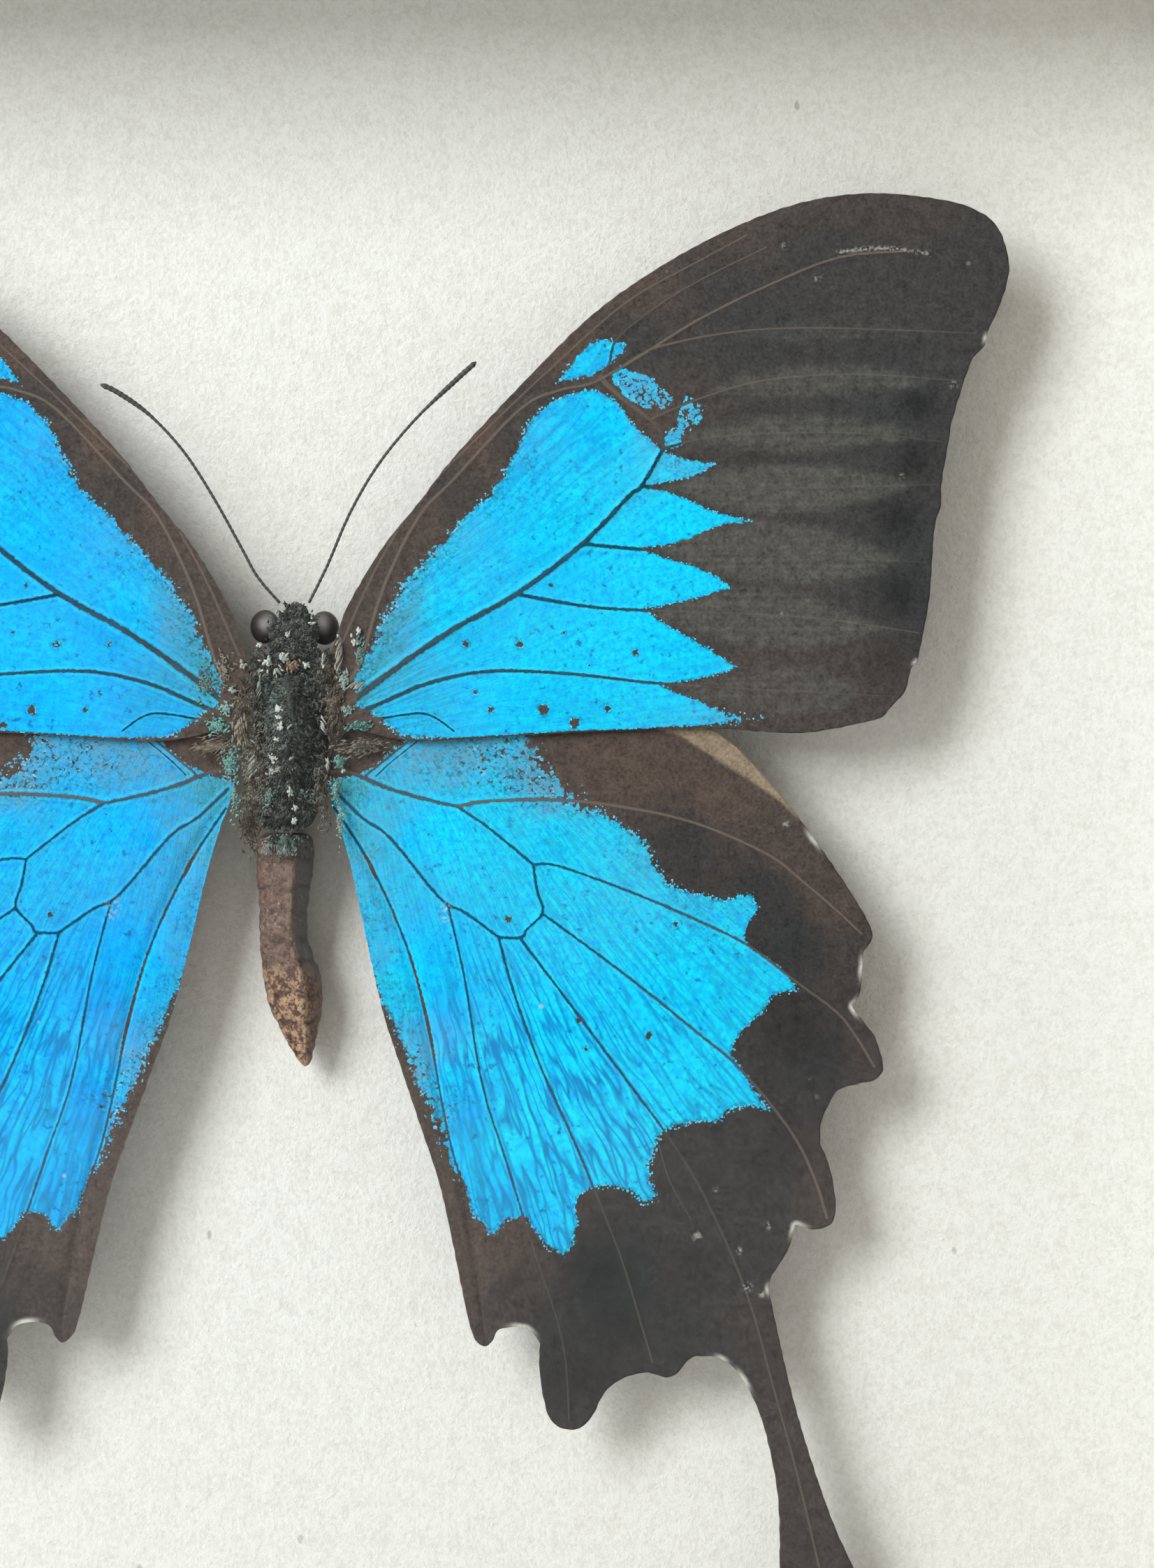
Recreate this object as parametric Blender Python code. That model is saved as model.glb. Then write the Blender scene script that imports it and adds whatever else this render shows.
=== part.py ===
"""Framed butterfly specimen: a tailed swallowtail, set wings open, in a square glazed box frame.

The frame stands on its bottom edge. +X is the viewer's right, the glass faces -Y and +Z is up.
The origin is the middle of the frame's foot. Constants are in millimetres; MM turns them to metres.
"""

import math

import bmesh
import bpy
from mathutils import Matrix, Vector

MM = 0.001

# Frame: four mitred wooden rails round a square sight opening.
SIGHT = 140.0            # clear opening in front of the glass
RAIL_WIDTH = 15.0        # sight edge to outer edge
RABBET = 4.0             # how far the lip overlaps the glass
SIDE = SIGHT + 2 * RAIL_WIDTH
MIDDLE_Z = SIDE / 2
FRONT = -17.0            # front face of the rails
BACK = 17.0              # back face of the rails
LIP = 4.0                # thickness of the lip in front of the glass
SIGHT_ROUND = 1.2        # radius along the sight edge
OUTER_ROUND = 2.0        # radius along the outer front edge
BACK_CHAMFER = 0.5
GAP = 0.3                # clearance between neighbouring pieces

# The pack behind the lip, from front to back.
GLASS_THICK = 2.0
SPACER_THICK = 3.2
CARD_FACE = 6.0          # the plane that the specimen lies on
CARD_THICK = 2.0
BOARD_THICK = 3.0
PACK_SIDE = SIGHT + 2 * RABBET - 2 * GAP

# Steel points pushed into the rabbet, which hold the backing board in.
POINT_SPREAD = 40.0      # each side of a rail's middle
POINT_WIDTH = 7.0
POINT_THICK = 0.5
POINT_REACH = 5.0        # how far a point laps over the board, from the sight line
POINT_TIP = 6.0          # depth of its tip in the rail, from the sight line

# Sawtooth hanger in a shallow pocket at the back of the top rail.
HANGER_LENGTH = 44.0
HANGER_HEIGHT = 6.4
HANGER_THICK = 0.8
HANGER_TEETH = 11
TOOTH_HEIGHT = 1.2
POCKET_DEPTH = 2.2
NAIL_SPREAD = 18.0
NAIL_SHANK = 0.6
NAIL_HEAD = 1.6
NAIL_HEAD_THICK = 0.6
NAIL_LENGTH = 7.0

# Butterfly. Its own coordinates are (x, z) from the middle of the thorax.
THORAX_Z = 98.0
FOREWING_Y = (-1.2, -0.8)
HINDWING_Y = (-0.4, 0.0)
FORE_AXIS = -0.1
HIND_AXIS = -0.7         # the hind wings are set a little left of the fore wings
HIND_TURN = 1.5          # degrees that the left hind wing is set further out
HIND_ROOT = (2.8, -4.1)
CURVE_STEPS = 3

# Each outline is a chain of flowing stretches, and the stretches meet in corners.
FOREWING = (
    ((2.9, 4.2), (3.1, 5.6), (3.6, 7.2), (4.5, 9.5), (7.1, 13.8), (9.8, 17.1), (12.4, 20.5),
     (17.7, 26.2), (22.9, 31.3), (28.2, 35.0), (33.5, 37.8), (38.7, 39.7), (44.0, 40.4),
     (49.3, 39.9), (51.9, 39.1), (53.5, 37.8), (54.3, 35.4), (54.2, 33.7), (53.5, 31.6),
     (52.7, 29.9)),
    ((52.7, 29.9), (52.5, 28.9), (51.6, 27.9), (51.0, 26.4), (50.5, 24.8), (50.0, 23.1),
     (49.7, 21.3), (49.2, 18.3), (49.2, 16.9), (48.7, 15.2), (48.5, 12.4), (48.3, 9.7),
     (47.8, 6.9), (47.4, 5.0)),
    ((47.4, 5.0), (46.9, 4.4), (46.5, 2.8), (45.6, 1.8), (44.7, 0.8), (43.2, 0.4), (40.8, -0.1),
     (37.7, -0.4), (30.8, 0.0), (20.3, -0.4), (12.4, -0.9), (9.8, -1.0), (7.4, -0.7),
     (5.5, -0.2), (3.9, 0.4), (3.2, 2.0), (2.9, 4.2)),
)
HINDWING = (
    ((2.8, -4.1), (2.9, -2.6), (3.6, -0.9), (6.5, 1.2), (12.0, 3.0), (20.0, 3.2), (26.5, 1.9),
     (32.4, -0.3), (36.6, -4.4), (39.3, -7.8), (42.2, -12.0), (43.9, -14.9), (44.0, -16.0),
     (43.4, -16.9)),
    ((43.4, -16.9), (43.3, -18.6), (43.1, -20.2), (42.5, -21.0)),
    ((42.5, -21.0), (43.5, -22.3), (44.3, -23.4), (44.9, -25.5), (44.6, -26.3), (44.0, -26.7),
     (42.9, -26.9), (41.4, -27.4), (40.8, -28.4), (40.2, -29.7), (40.1, -31.3)),
    ((40.1, -31.3), (40.9, -33.4), (41.3, -36.0), (41.1, -37.2), (40.6, -37.7), (39.5, -37.9),
     (38.2, -37.5)),
    ((38.2, -37.5), (37.7, -39.4), (36.5, -41.3), (36.2, -42.3)),
    ((36.2, -42.3), (36.7, -44.7), (37.9, -50.0), (39.4, -55.2), (41.4, -60.8), (44.0, -66.3),
     (44.5, -69.2), (43.3, -71.4), (41.1, -72.2), (38.7, -71.1), (37.3, -68.4), (37.0, -65.0),
     (37.0, -60.5), (36.7, -56.8), (35.6, -52.1), (34.0, -48.9), (32.4, -47.6), (30.6, -47.5)),
    ((30.6, -47.5), (30.0, -47.9), (29.3, -48.8), (28.4, -49.1), (27.1, -48.7)),
    ((27.1, -48.7), (25.6, -49.0), (24.5, -49.6), (23.7, -50.4), (22.7, -52.3), (21.4, -53.1),
     (19.8, -52.5), (19.1, -50.5), (18.8, -47.9), (18.9, -46.6)),
    ((18.9, -46.6), (18.2, -45.6), (17.0, -45.3), (15.8, -45.5), (15.4, -46.2)),
    ((15.4, -46.2), (14.8, -46.8), (14.0, -46.3), (13.5, -44.9), (12.9, -42.1), (12.1, -38.1),
     (11.2, -34.2), (9.8, -30.0), (8.2, -25.2), (7.0, -21.5), (5.8, -16.2), (4.7, -11.0),
     (3.7, -7.3), (3.0, -5.4), (2.8, -4.1)),
)

# Stations down the body: z, middle x, middle y, half width, half depth.
HEAD = ((9.6, 0.35, 1.6, 0.0, 0.0), (9.3, 0.35, 1.6, 0.7, 1.1), (8.6, 0.35, 1.6, 1.0, 1.8),
        (7.4, 0.35, 1.6, 1.1, 2.1), (6.2, 0.35, 1.7, 1.2, 2.2), (5.5, 0.3, 1.7, 1.0, 1.6),
        (5.3, 0.25, 1.7, 0.0, 0.0))
THORAX = ((5.0, 0.2, 1.7, 0.0, 0.0), (4.8, 0.2, 1.7, 1.5, 2.0), (3.6, 0.1, 1.7, 2.3, 3.2),
          (1.4, 0.0, 1.7, 2.75, 3.8), (-1.2, 0.0, 1.7, 2.75, 3.9), (-3.8, -0.1, 1.8, 2.5, 3.6),
          (-6.0, -0.2, 2.0, 2.2, 3.0), (-7.4, -0.3, 2.2, 1.6, 2.2), (-7.6, -0.3, 2.2, 0.0, 0.0))
ABDOMEN = ((-7.9, -0.3, 2.5, 0.0, 0.0), (-8.1, -0.35, 2.5, 1.8, 2.0), (-9.4, -0.35, 2.6, 2.2, 2.6),
           (-11.5, -0.45, 2.7, 2.1, 2.6), (-13.1, -0.5, 2.9, 1.9, 2.4), (-16.0, -0.5, 3.1, 1.85, 2.2),
           (-18.9, 0.1, 3.3, 2.2, 2.2), (-21.3, 0.4, 3.4, 2.0, 2.0), (-23.9, 0.8, 3.5, 1.1, 1.2),
           (-25.5, 1.1, 3.5, 0.4, 0.5), (-25.8, 1.1, 3.5, 0.0, 0.0))
RING = 14                # vertices round the body

EYE_HALF = (0.95, 1.25, 1.15)    # half its width, depth and height
EYES = {"eye_left": (-2.0, 7.75), "eye_right": (2.7, 7.65)}
EYE_Y = 1.2
ANTENNA_Y = 0.0
ANTENNA_TIP_Y = -1.4
SHAFT_RADIUS = 0.11
CLUB_RADIUS = 0.21
CLUB_START = 0.8         # share of the antenna's length where the club begins
ANTENNAE = {
    "antenna_left": ((-0.8, 9.5), (-2.5, 11.5), (-3.7, 13.7), (-4.5, 15.2), (-5.8, 17.5),
                     (-7.0, 19.5), (-8.0, 20.9), (-9.2, 22.2), (-10.5, 23.6), (-11.7, 24.6),
                     (-12.9, 25.3), (-14.2, 25.9)),
    "antenna_right": ((1.4, 9.5), (2.0, 10.5), (2.8, 12.3), (3.7, 14.3), (4.5, 16.2), (5.4, 18.1),
                      (6.6, 19.8), (7.8, 21.3), (9.3, 23.1), (10.7, 24.7), (12.2, 25.9),
                      (13.2, 26.7), (14.1, 27.6)),
}

# Colour, roughness and metallic value of each finish.
FINISHES = {
    "oak": ((0.55, 0.40, 0.25), 0.55, 0.0),
    "glass": ((0.90, 0.95, 0.93), 0.05, 0.0),
    "cream_card": ((0.83, 0.81, 0.75), 0.90, 0.0),
    "hardboard": ((0.35, 0.23, 0.14), 0.80, 0.0),
    "steel": ((0.62, 0.62, 0.62), 0.35, 1.0),
    "blue_wing": ((0.01, 0.55, 0.86), 0.55, 0.0),
    "dark_fur": ((0.05, 0.05, 0.05), 0.95, 0.0),
    "brown_skin": ((0.24, 0.16, 0.12), 0.80, 0.0),
    "eye": ((0.03, 0.03, 0.03), 0.25, 0.0),
}


def clear_scene():
    for old in list(bpy.data.objects):
        bpy.data.objects.remove(old, do_unlink=True)


def finish(name):
    """The Principled material of one finish, made on first use."""
    made = bpy.data.materials.get(name)
    if made:
        return made
    colour, roughness, metallic = FINISHES[name]
    made = bpy.data.materials.new(name)
    made.use_nodes = True
    shader = made.node_tree.nodes["Principled BSDF"]
    shader.inputs["Base Color"].default_value = (*colour, 1.0)
    shader.inputs["Roughness"].default_value = roughness
    shader.inputs["Metallic"].default_value = metallic
    return made


def add_object(name, shape, finish_name, smooth=False):
    """Turn a bmesh in millimetres into a named object in metres."""
    bmesh.ops.scale(shape, vec=Vector((MM, MM, MM)), verts=shape.verts)
    bmesh.ops.recalc_face_normals(shape, faces=shape.faces)
    mesh = bpy.data.meshes.new(name)
    shape.to_mesh(mesh)
    shape.free()
    made = bpy.data.objects.new(name, mesh)
    made.data.materials.append(finish(finish_name))
    bpy.context.scene.collection.objects.link(made)
    if smooth:
        mesh.shade_smooth()
        mesh.set_sharp_from_angle(angle=math.radians(40))
    return made


def box(low, high):
    shape = bmesh.new()
    middle = [(a + b) / 2 for a, b in zip(low, high)]
    size = [b - a for a, b in zip(low, high)]
    place = Matrix.Translation(middle) @ Matrix.Diagonal((*size, 1.0))
    bmesh.ops.create_cube(shape, size=1.0, matrix=place)
    return shape


def prism(points, near, far):
    """A flat outline in X and Z, given a thickness along Y."""
    shape = bmesh.new()
    face = shape.faces.new([shape.verts.new((x, near, z)) for x, z in points])
    moved = bmesh.ops.extrude_face_region(shape, geom=[face])["geom"]
    fresh = [item for item in moved if isinstance(item, bmesh.types.BMVert)]
    bmesh.ops.translate(shape, vec=(0.0, far - near, 0.0), verts=fresh)
    return shape


def arc(middle, radius, start, end, steps):
    """Points on an arc, angles in degrees."""
    angles = [math.radians(start + (end - start) * i / steps) for i in range(steps + 1)]
    return [(middle[0] + radius * math.cos(a), middle[1] + radius * math.sin(a)) for a in angles]


def flowing(points, steps):
    """A Catmull-Rom curve through the points, without its last point."""
    ends = [points[0], *points, points[-1]]
    curve = []
    for before, start, end, after in zip(ends, ends[1:], ends[2:], ends[3:]):
        for i in range(steps):
            t = i / steps
            weights = (
                (-t + 2 * t**2 - t**3) / 2,
                (2 - 5 * t**2 + 3 * t**3) / 2,
                (t + 4 * t**2 - 3 * t**3) / 2,
                (t**3 - t**2) / 2,
            )
            knots = (before, start, end, after)
            curve.append(tuple(sum(w * k[axis] for w, k in zip(weights, knots))
                               for axis in range(len(start))))
    return curve


def outline(stretches):
    return [point for stretch in stretches for point in flowing(stretch, CURVE_STEPS)]


def cutter(name, shape, parent):
    """A hidden guide that a Boolean takes away from its parent."""
    guide = add_object(name, shape, "steel")
    guide.hide_render = True
    guide.display_type = "WIRE"
    guide.parent = parent
    cut = parent.modifiers.new(name, "BOOLEAN")
    cut.operation = "DIFFERENCE"
    cut.object = guide
    return guide


def rail(name, quarter_turns, pocket=False):
    """One mitred rail, modelled along the top of the frame and turned into place."""
    half = SIGHT / 2
    profile = [
        *arc((SIGHT_ROUND, FRONT + SIGHT_ROUND), SIGHT_ROUND, 180, 270, 3),
        *arc((RAIL_WIDTH - OUTER_ROUND, FRONT + OUTER_ROUND), OUTER_ROUND, 270, 360, 4),
        (RAIL_WIDTH, BACK - BACK_CHAMFER),
        (RAIL_WIDTH - BACK_CHAMFER, BACK),
        (RABBET, BACK),
        (RABBET, FRONT + LIP),
        (0.0, FRONT + LIP),
    ]
    mitre = GAP / 2 * math.sqrt(2)
    shape = bmesh.new()
    ends = [[shape.verts.new((side * (half + u - mitre), y, half + u)) for u, y in profile]
            for side in (-1, 1)]
    for end in ends:
        shape.faces.new(end)
    for i in range(len(profile)):
        j = (i + 1) % len(profile)
        shape.faces.new((ends[0][i], ends[0][j], ends[1][j], ends[1][i]))
    made = add_object(name, shape, "oak")
    slot_front = point_front() - GAP
    slot_back = point_front() + POINT_THICK + GAP
    for number, side in enumerate((-1, 1)):
        across = POINT_WIDTH / 2 + GAP
        slot = box((side * POINT_SPREAD - across, slot_front, half + RABBET - 1.0),
                   (side * POINT_SPREAD + across, slot_back, half + POINT_TIP + GAP))
        cutter(f"{name}_slot_{number}", slot, made)
    if pocket:
        middle = half + RABBET + (RAIL_WIDTH - RABBET) / 2
        across = HANGER_LENGTH / 2 + 1.0
        high = HANGER_HEIGHT / 2 + 0.8
        hollow = box((-across, BACK - POCKET_DEPTH, middle - high), (across, BACK + 1.0, middle + high))
        cutter(f"{name}_pocket", hollow, made)
        for number, side in enumerate((-1, 1)):
            bore = cylinder((side * NAIL_SPREAD, BACK - NAIL_LENGTH - GAP, middle),
                            NAIL_SHANK + GAP, NAIL_LENGTH)
            cutter(f"{name}_bore_{number}", bore, made)
    made.rotation_euler = (0.0, quarter_turns * math.pi / 2, 0.0)
    made.location = (0.0, 0.0, MIDDLE_Z * MM)
    return made


def cylinder(start, radius, length, segments=12):
    """A cylinder that runs from start along +Y."""
    shape = bmesh.new()
    place = (Matrix.Translation((start[0], start[1] + length / 2, start[2]))
             @ Matrix.Rotation(math.pi / 2, 4, "X"))
    bmesh.ops.create_cone(shape, cap_ends=True, segments=segments, radius1=radius, radius2=radius,
                          depth=length, matrix=place)
    return shape


def board_front():
    return CARD_FACE + CARD_THICK + GAP


def point_front():
    return board_front() + BOARD_THICK + GAP


def build_frame():
    rail("rail_top", 0, pocket=True)
    for turns, name in enumerate(("rail_right", "rail_bottom", "rail_left"), start=1):
        rail(name, turns)


def build_pack():
    """Glass, spacers, mount card and backing board, which lie in the rabbet."""
    half = PACK_SIDE / 2
    low, high = MIDDLE_Z - half, MIDDLE_Z + half
    glass_front = FRONT + LIP + GAP
    glass_back = glass_front + GLASS_THICK
    add_object("glass_pane", box((-half, glass_front, low), (half, glass_back, high)), "glass")
    near, far = glass_back + GAP, CARD_FACE - GAP
    inner = half - SPACER_THICK
    short = inner - GAP
    spacers = {
        "spacer_top": ((-half, high - SPACER_THICK), (half, high)),
        "spacer_bottom": ((-half, low), (half, low + SPACER_THICK)),
        "spacer_left": ((-half, MIDDLE_Z - short), (-inner, MIDDLE_Z + short)),
        "spacer_right": ((inner, MIDDLE_Z - short), (half, MIDDLE_Z + short)),
    }
    for name, (start, end) in spacers.items():
        strip = box((start[0], near, start[1]), (end[0], far, end[1]))
        add_object(name, strip, "cream_card")
    card = box((-half, CARD_FACE, low), (half, CARD_FACE + CARD_THICK, high))
    add_object("mount_card", card, "cream_card")
    board = box((-half, board_front(), low), (half, board_front() + BOARD_THICK, high))
    add_object("backing_board", board, "hardboard")


def build_points():
    """Two steel points in each rail, lapping over the backing board."""
    half = SIGHT / 2
    side = POINT_WIDTH / 2
    shoulder = half + RABBET - GAP
    shape_points = [(-side, half - POINT_REACH), (side, half - POINT_REACH), (side, shoulder),
                    (side / 3, half + POINT_TIP), (-side / 3, half + POINT_TIP), (-side, shoulder)]
    number = 0
    for turns in range(4):
        for along in (-POINT_SPREAD, POINT_SPREAD):
            number += 1
            moved = [(x + along, z) for x, z in shape_points]
            tab = prism(moved, point_front(), point_front() + POINT_THICK)
            made = add_object(f"framers_point_{number}", tab, "steel")
            made.rotation_euler = (0.0, turns * math.pi / 2, 0.0)
            made.location = (0.0, 0.0, MIDDLE_Z * MM)


def build_hanger():
    """A toothed plate and its two nails, below the level of the rail's back face."""
    middle = SIDE - (RAIL_WIDTH - RABBET) / 2
    floor = BACK - POCKET_DEPTH
    plate_near = floor + GAP
    half_length = HANGER_LENGTH / 2
    half_height = HANGER_HEIGHT / 2
    tooth = HANGER_LENGTH * 0.5 / HANGER_TEETH
    teeth = []
    for i in range(HANGER_TEETH):
        x = HANGER_LENGTH * 0.25 - i * tooth
        teeth += [(x, middle - half_height), (x - tooth / 2, middle - half_height + TOOTH_HEIGHT)]
    plate_outline = [
        (-half_length, middle + half_height), (half_length, middle + half_height),
        (half_length, middle - half_height), *teeth,
        (-HANGER_LENGTH * 0.25, middle - half_height), (-half_length, middle - half_height),
    ]
    plate = add_object("sawtooth_hanger", prism(plate_outline, plate_near, plate_near + HANGER_THICK),
                       "steel")
    for side, name in ((-1, "hanger_nail_left"), (1, "hanger_nail_right")):
        x = side * NAIL_SPREAD
        hole = cylinder((x, plate_near - 1.0, middle), NAIL_SHANK + GAP, HANGER_THICK + 2.0)
        cutter(f"{name}_hole", hole, plate)
        head_near = plate_near + HANGER_THICK + GAP
        add_object(name, nail(x, middle, head_near), "steel", smooth=True)


def nail(x, z, head_near):
    """A flat-headed nail, turned about an axis along Y."""
    tip = BACK - NAIL_LENGTH
    radii = ((tip, 0.0), (tip + 1.5, NAIL_SHANK), (head_near, NAIL_SHANK), (head_near, NAIL_HEAD),
             (head_near + NAIL_HEAD_THICK, NAIL_HEAD * 0.8), (head_near + NAIL_HEAD_THICK, 0.0))
    shape = bmesh.new()
    verts = [shape.verts.new((r, y, 0.0)) for y, r in radii]
    edges = [shape.edges.new(pair) for pair in zip(verts, verts[1:])]
    bmesh.ops.spin(shape, geom=verts + edges, cent=(0, 0, 0), axis=(0, 1, 0), angle=2 * math.pi,
                   steps=12, use_merge=True)
    bmesh.ops.remove_doubles(shape, verts=shape.verts, dist=0.001)
    bmesh.ops.translate(shape, vec=(x, 0.0, z), verts=shape.verts)
    return shape


def lofted(stations):
    """A closed body of oval rings down Z; the first and last stations are its poles."""
    shape = bmesh.new()
    rings = []
    for z, x, y, wide, deep in stations:
        if wide == 0.0:
            rings.append([shape.verts.new((x, y, THORAX_Z + z))])
            continue
        ring = []
        for i in range(RING):
            angle = 2 * math.pi * i / RING
            ring.append(shape.verts.new((x + wide * math.cos(angle), y + deep * math.sin(angle),
                                         THORAX_Z + z)))
        rings.append(ring)
    for upper, lower in zip(rings, rings[1:]):
        for i in range(RING):
            j = (i + 1) % RING
            if len(upper) == 1:
                shape.faces.new((upper[0], lower[i], lower[j]))
            elif len(lower) == 1:
                shape.faces.new((upper[i], lower[0], upper[j]))
            else:
                shape.faces.new((upper[i], lower[i], lower[j], upper[j]))
    return shape


def antenna(name, route):
    """A thin shaft that swells into a club at its tip."""
    points = [*flowing(route, 2), route[-1]]
    curve = bpy.data.curves.new(name, "CURVE")
    curve.dimensions = "3D"
    curve.bevel_depth = MM
    curve.bevel_resolution = 1
    curve.use_fill_caps = True
    spline = curve.splines.new("POLY")
    spline.points.add(len(points) - 1)
    for i, (point, (x, z)) in enumerate(zip(spline.points, points)):
        share = i / (len(points) - 1)
        y = ANTENNA_Y + (ANTENNA_TIP_Y - ANTENNA_Y) * share
        point.co = (x * MM, y * MM, (THORAX_Z + z) * MM, 1.0)
        swelling = max(0.0, (share - CLUB_START) / (1 - CLUB_START))
        point.radius = SHAFT_RADIUS + (CLUB_RADIUS - SHAFT_RADIUS) * math.sin(swelling * math.pi * 0.8)
    made = bpy.data.objects.new(name, curve)
    made.data.materials.append(finish("dark_fur"))
    bpy.context.scene.collection.objects.link(made)


def build_body():
    add_object("head", lofted(HEAD), "dark_fur", smooth=True)
    add_object("thorax", lofted(THORAX), "dark_fur", smooth=True)
    add_object("abdomen", lofted(ABDOMEN), "brown_skin", smooth=True)
    for name, (x, z) in EYES.items():
        ball = bmesh.new()
        place = Matrix.Translation((x, EYE_Y, THORAX_Z + z)) @ Matrix.Diagonal((*EYE_HALF, 1.0))
        bmesh.ops.create_icosphere(ball, subdivisions=2, radius=1.0, matrix=place)
        add_object(name, ball, "eye", smooth=True)
    for name, route in ANTENNAE.items():
        antenna(name, route)


def turned(points, centre, degrees):
    """Points swung outwards about a centre, seen from the front."""
    c, s = math.cos(math.radians(degrees)), math.sin(math.radians(degrees))
    return [(centre[0] + c * (x - centre[0]) - s * (z - centre[1]),
             centre[1] + s * (x - centre[0]) + c * (z - centre[1])) for x, z in points]


def build_wings():
    for kind, stretches, depth, axis, turn in (
            ("forewing", FOREWING, FOREWING_Y, FORE_AXIS, 0.0),
            ("hindwing", HINDWING, HINDWING_Y, HIND_AXIS, HIND_TURN)):
        shape = outline(stretches)
        right = [(x, THORAX_Z + z) for x, z in shape]
        left = [(2 * axis - x, THORAX_Z + z) for x, z in turned(shape, HIND_ROOT, turn)]
        add_object(f"{kind}_right", prism(right, *depth), "blue_wing")
        add_object(f"{kind}_left", prism(left, *depth), "blue_wing")


def main():
    clear_scene()
    build_frame()
    build_pack()
    build_points()
    build_hanger()
    build_body()
    build_wings()


main()
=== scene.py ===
"""Finishes, fine shapes, light and camera for the framed butterfly.

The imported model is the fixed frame. The wooden frame, glass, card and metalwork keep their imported
shapes and get finishes here. The insect's plain solids are replaced by fine meshes: wings with raised
veins and folds, a furred head and thorax, a ringed abdomen, compound eyes and clubbed antennae.
Lengths are in millimetres up to the last step, where MM turns them into metres.
"""

import logging
import math
from collections.abc import Sequence
from dataclasses import dataclass, field
from enum import Enum

import bmesh
import bpy
import numpy as np
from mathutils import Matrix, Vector
from mathutils.geometry import delaunay_2d_cdt
from mathutils.kdtree import KDTree


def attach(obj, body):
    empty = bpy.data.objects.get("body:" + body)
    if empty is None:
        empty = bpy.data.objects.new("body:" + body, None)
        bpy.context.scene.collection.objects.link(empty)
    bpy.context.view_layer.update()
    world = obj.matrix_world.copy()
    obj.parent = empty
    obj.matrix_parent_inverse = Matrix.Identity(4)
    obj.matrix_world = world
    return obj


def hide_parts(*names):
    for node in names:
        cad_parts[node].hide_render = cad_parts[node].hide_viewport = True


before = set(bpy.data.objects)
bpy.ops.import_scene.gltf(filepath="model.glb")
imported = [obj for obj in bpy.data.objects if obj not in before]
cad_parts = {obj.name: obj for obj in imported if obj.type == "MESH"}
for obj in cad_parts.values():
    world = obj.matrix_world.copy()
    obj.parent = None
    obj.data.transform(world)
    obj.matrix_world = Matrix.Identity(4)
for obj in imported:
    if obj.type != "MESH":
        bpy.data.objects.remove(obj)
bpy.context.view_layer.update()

MM = 0.001
BODY = "root"
THORAX_Z = 98.0                     # height of the insect's own origin, the middle of its thorax
FAR = 6.0                           # the furthest distance that a wing's fields keep
RIM_REACH = 1.5                     # width of the rim along which a wing thins out
VEIN_WIDTH = 1.08                   # how much wider the veins are than their drawn widths
SPIKE_POINTS = 7                    # points of one hair or flake
LOG = logging.getLogger("butterfly")

Point = tuple[float, float]
Line = tuple[Point, ...]
Colour = tuple[float, float, float]
Fields = dict[str, np.ndarray]


# ---- Shader maths ----


class Value:
    """A number that varies over a surface, with Python arithmetic that adds Math nodes."""

    def __init__(self, surface: "Surface", socket: bpy.types.NodeSocket) -> None:
        """Wrap a float socket of a surface."""
        self.surface = surface
        self.socket = socket

    def maths(self, operation: str, *others: "Value | float", swap: bool = False,
              clamp: bool = False) -> "Value":
        """Add one Math node.

        Args:
            operation: the Math node's operation.
            others: the other operands.
            swap: put this value second.
            clamp: keep the result between 0 and 1.

        Returns:
            The node's result.
        """
        operands = [self, *others]
        if swap:
            operands.reverse()
        inputs = dict(enumerate(operands))
        made = self.surface.node("ShaderNodeMath", {"operation": operation, "use_clamp": clamp}, inputs)
        return Value(self.surface, made.outputs[0])

    def __add__(self, other: "Value | float") -> "Value":
        """Sum."""
        return self.maths("ADD", other)

    def __radd__(self, other: float) -> "Value":
        """Sum, from the right."""
        return self.maths("ADD", other, swap=True)

    def __sub__(self, other: "Value | float") -> "Value":
        """Difference."""
        return self.maths("SUBTRACT", other)

    def __rsub__(self, other: float) -> "Value":
        """Difference, from the right."""
        return self.maths("SUBTRACT", other, swap=True)

    def __mul__(self, other: "Value | float") -> "Value":
        """Product."""
        return self.maths("MULTIPLY", other)

    def __rmul__(self, other: float) -> "Value":
        """Product, from the right."""
        return self.maths("MULTIPLY", other, swap=True)

    def __truediv__(self, other: "Value | float") -> "Value":
        """Quotient."""
        return self.maths("DIVIDE", other)

    def __pow__(self, other: "Value | float") -> "Value":
        """Power."""
        return self.maths("POWER", other)

    def clamped(self) -> "Value":
        """This value, kept between 0 and 1."""
        return self.maths("ADD", 0.0, clamp=True)

    def least(self, other: "Value | float") -> "Value":
        """The smaller of two values."""
        return self.maths("MINIMUM", other)

    def most(self, other: "Value | float") -> "Value":
        """The larger of two values."""
        return self.maths("MAXIMUM", other)

    def rise(self, low: float, high: float) -> "Value":
        """A smooth step from 0 at low to 1 at high; low may be the larger."""
        settings = {"interpolation_type": "SMOOTHSTEP"}
        made = self.surface.node("ShaderNodeMapRange", settings,
                                 {"Value": self, "From Min": low, "From Max": high})
        return Value(self.surface, made.outputs["Result"])


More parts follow.
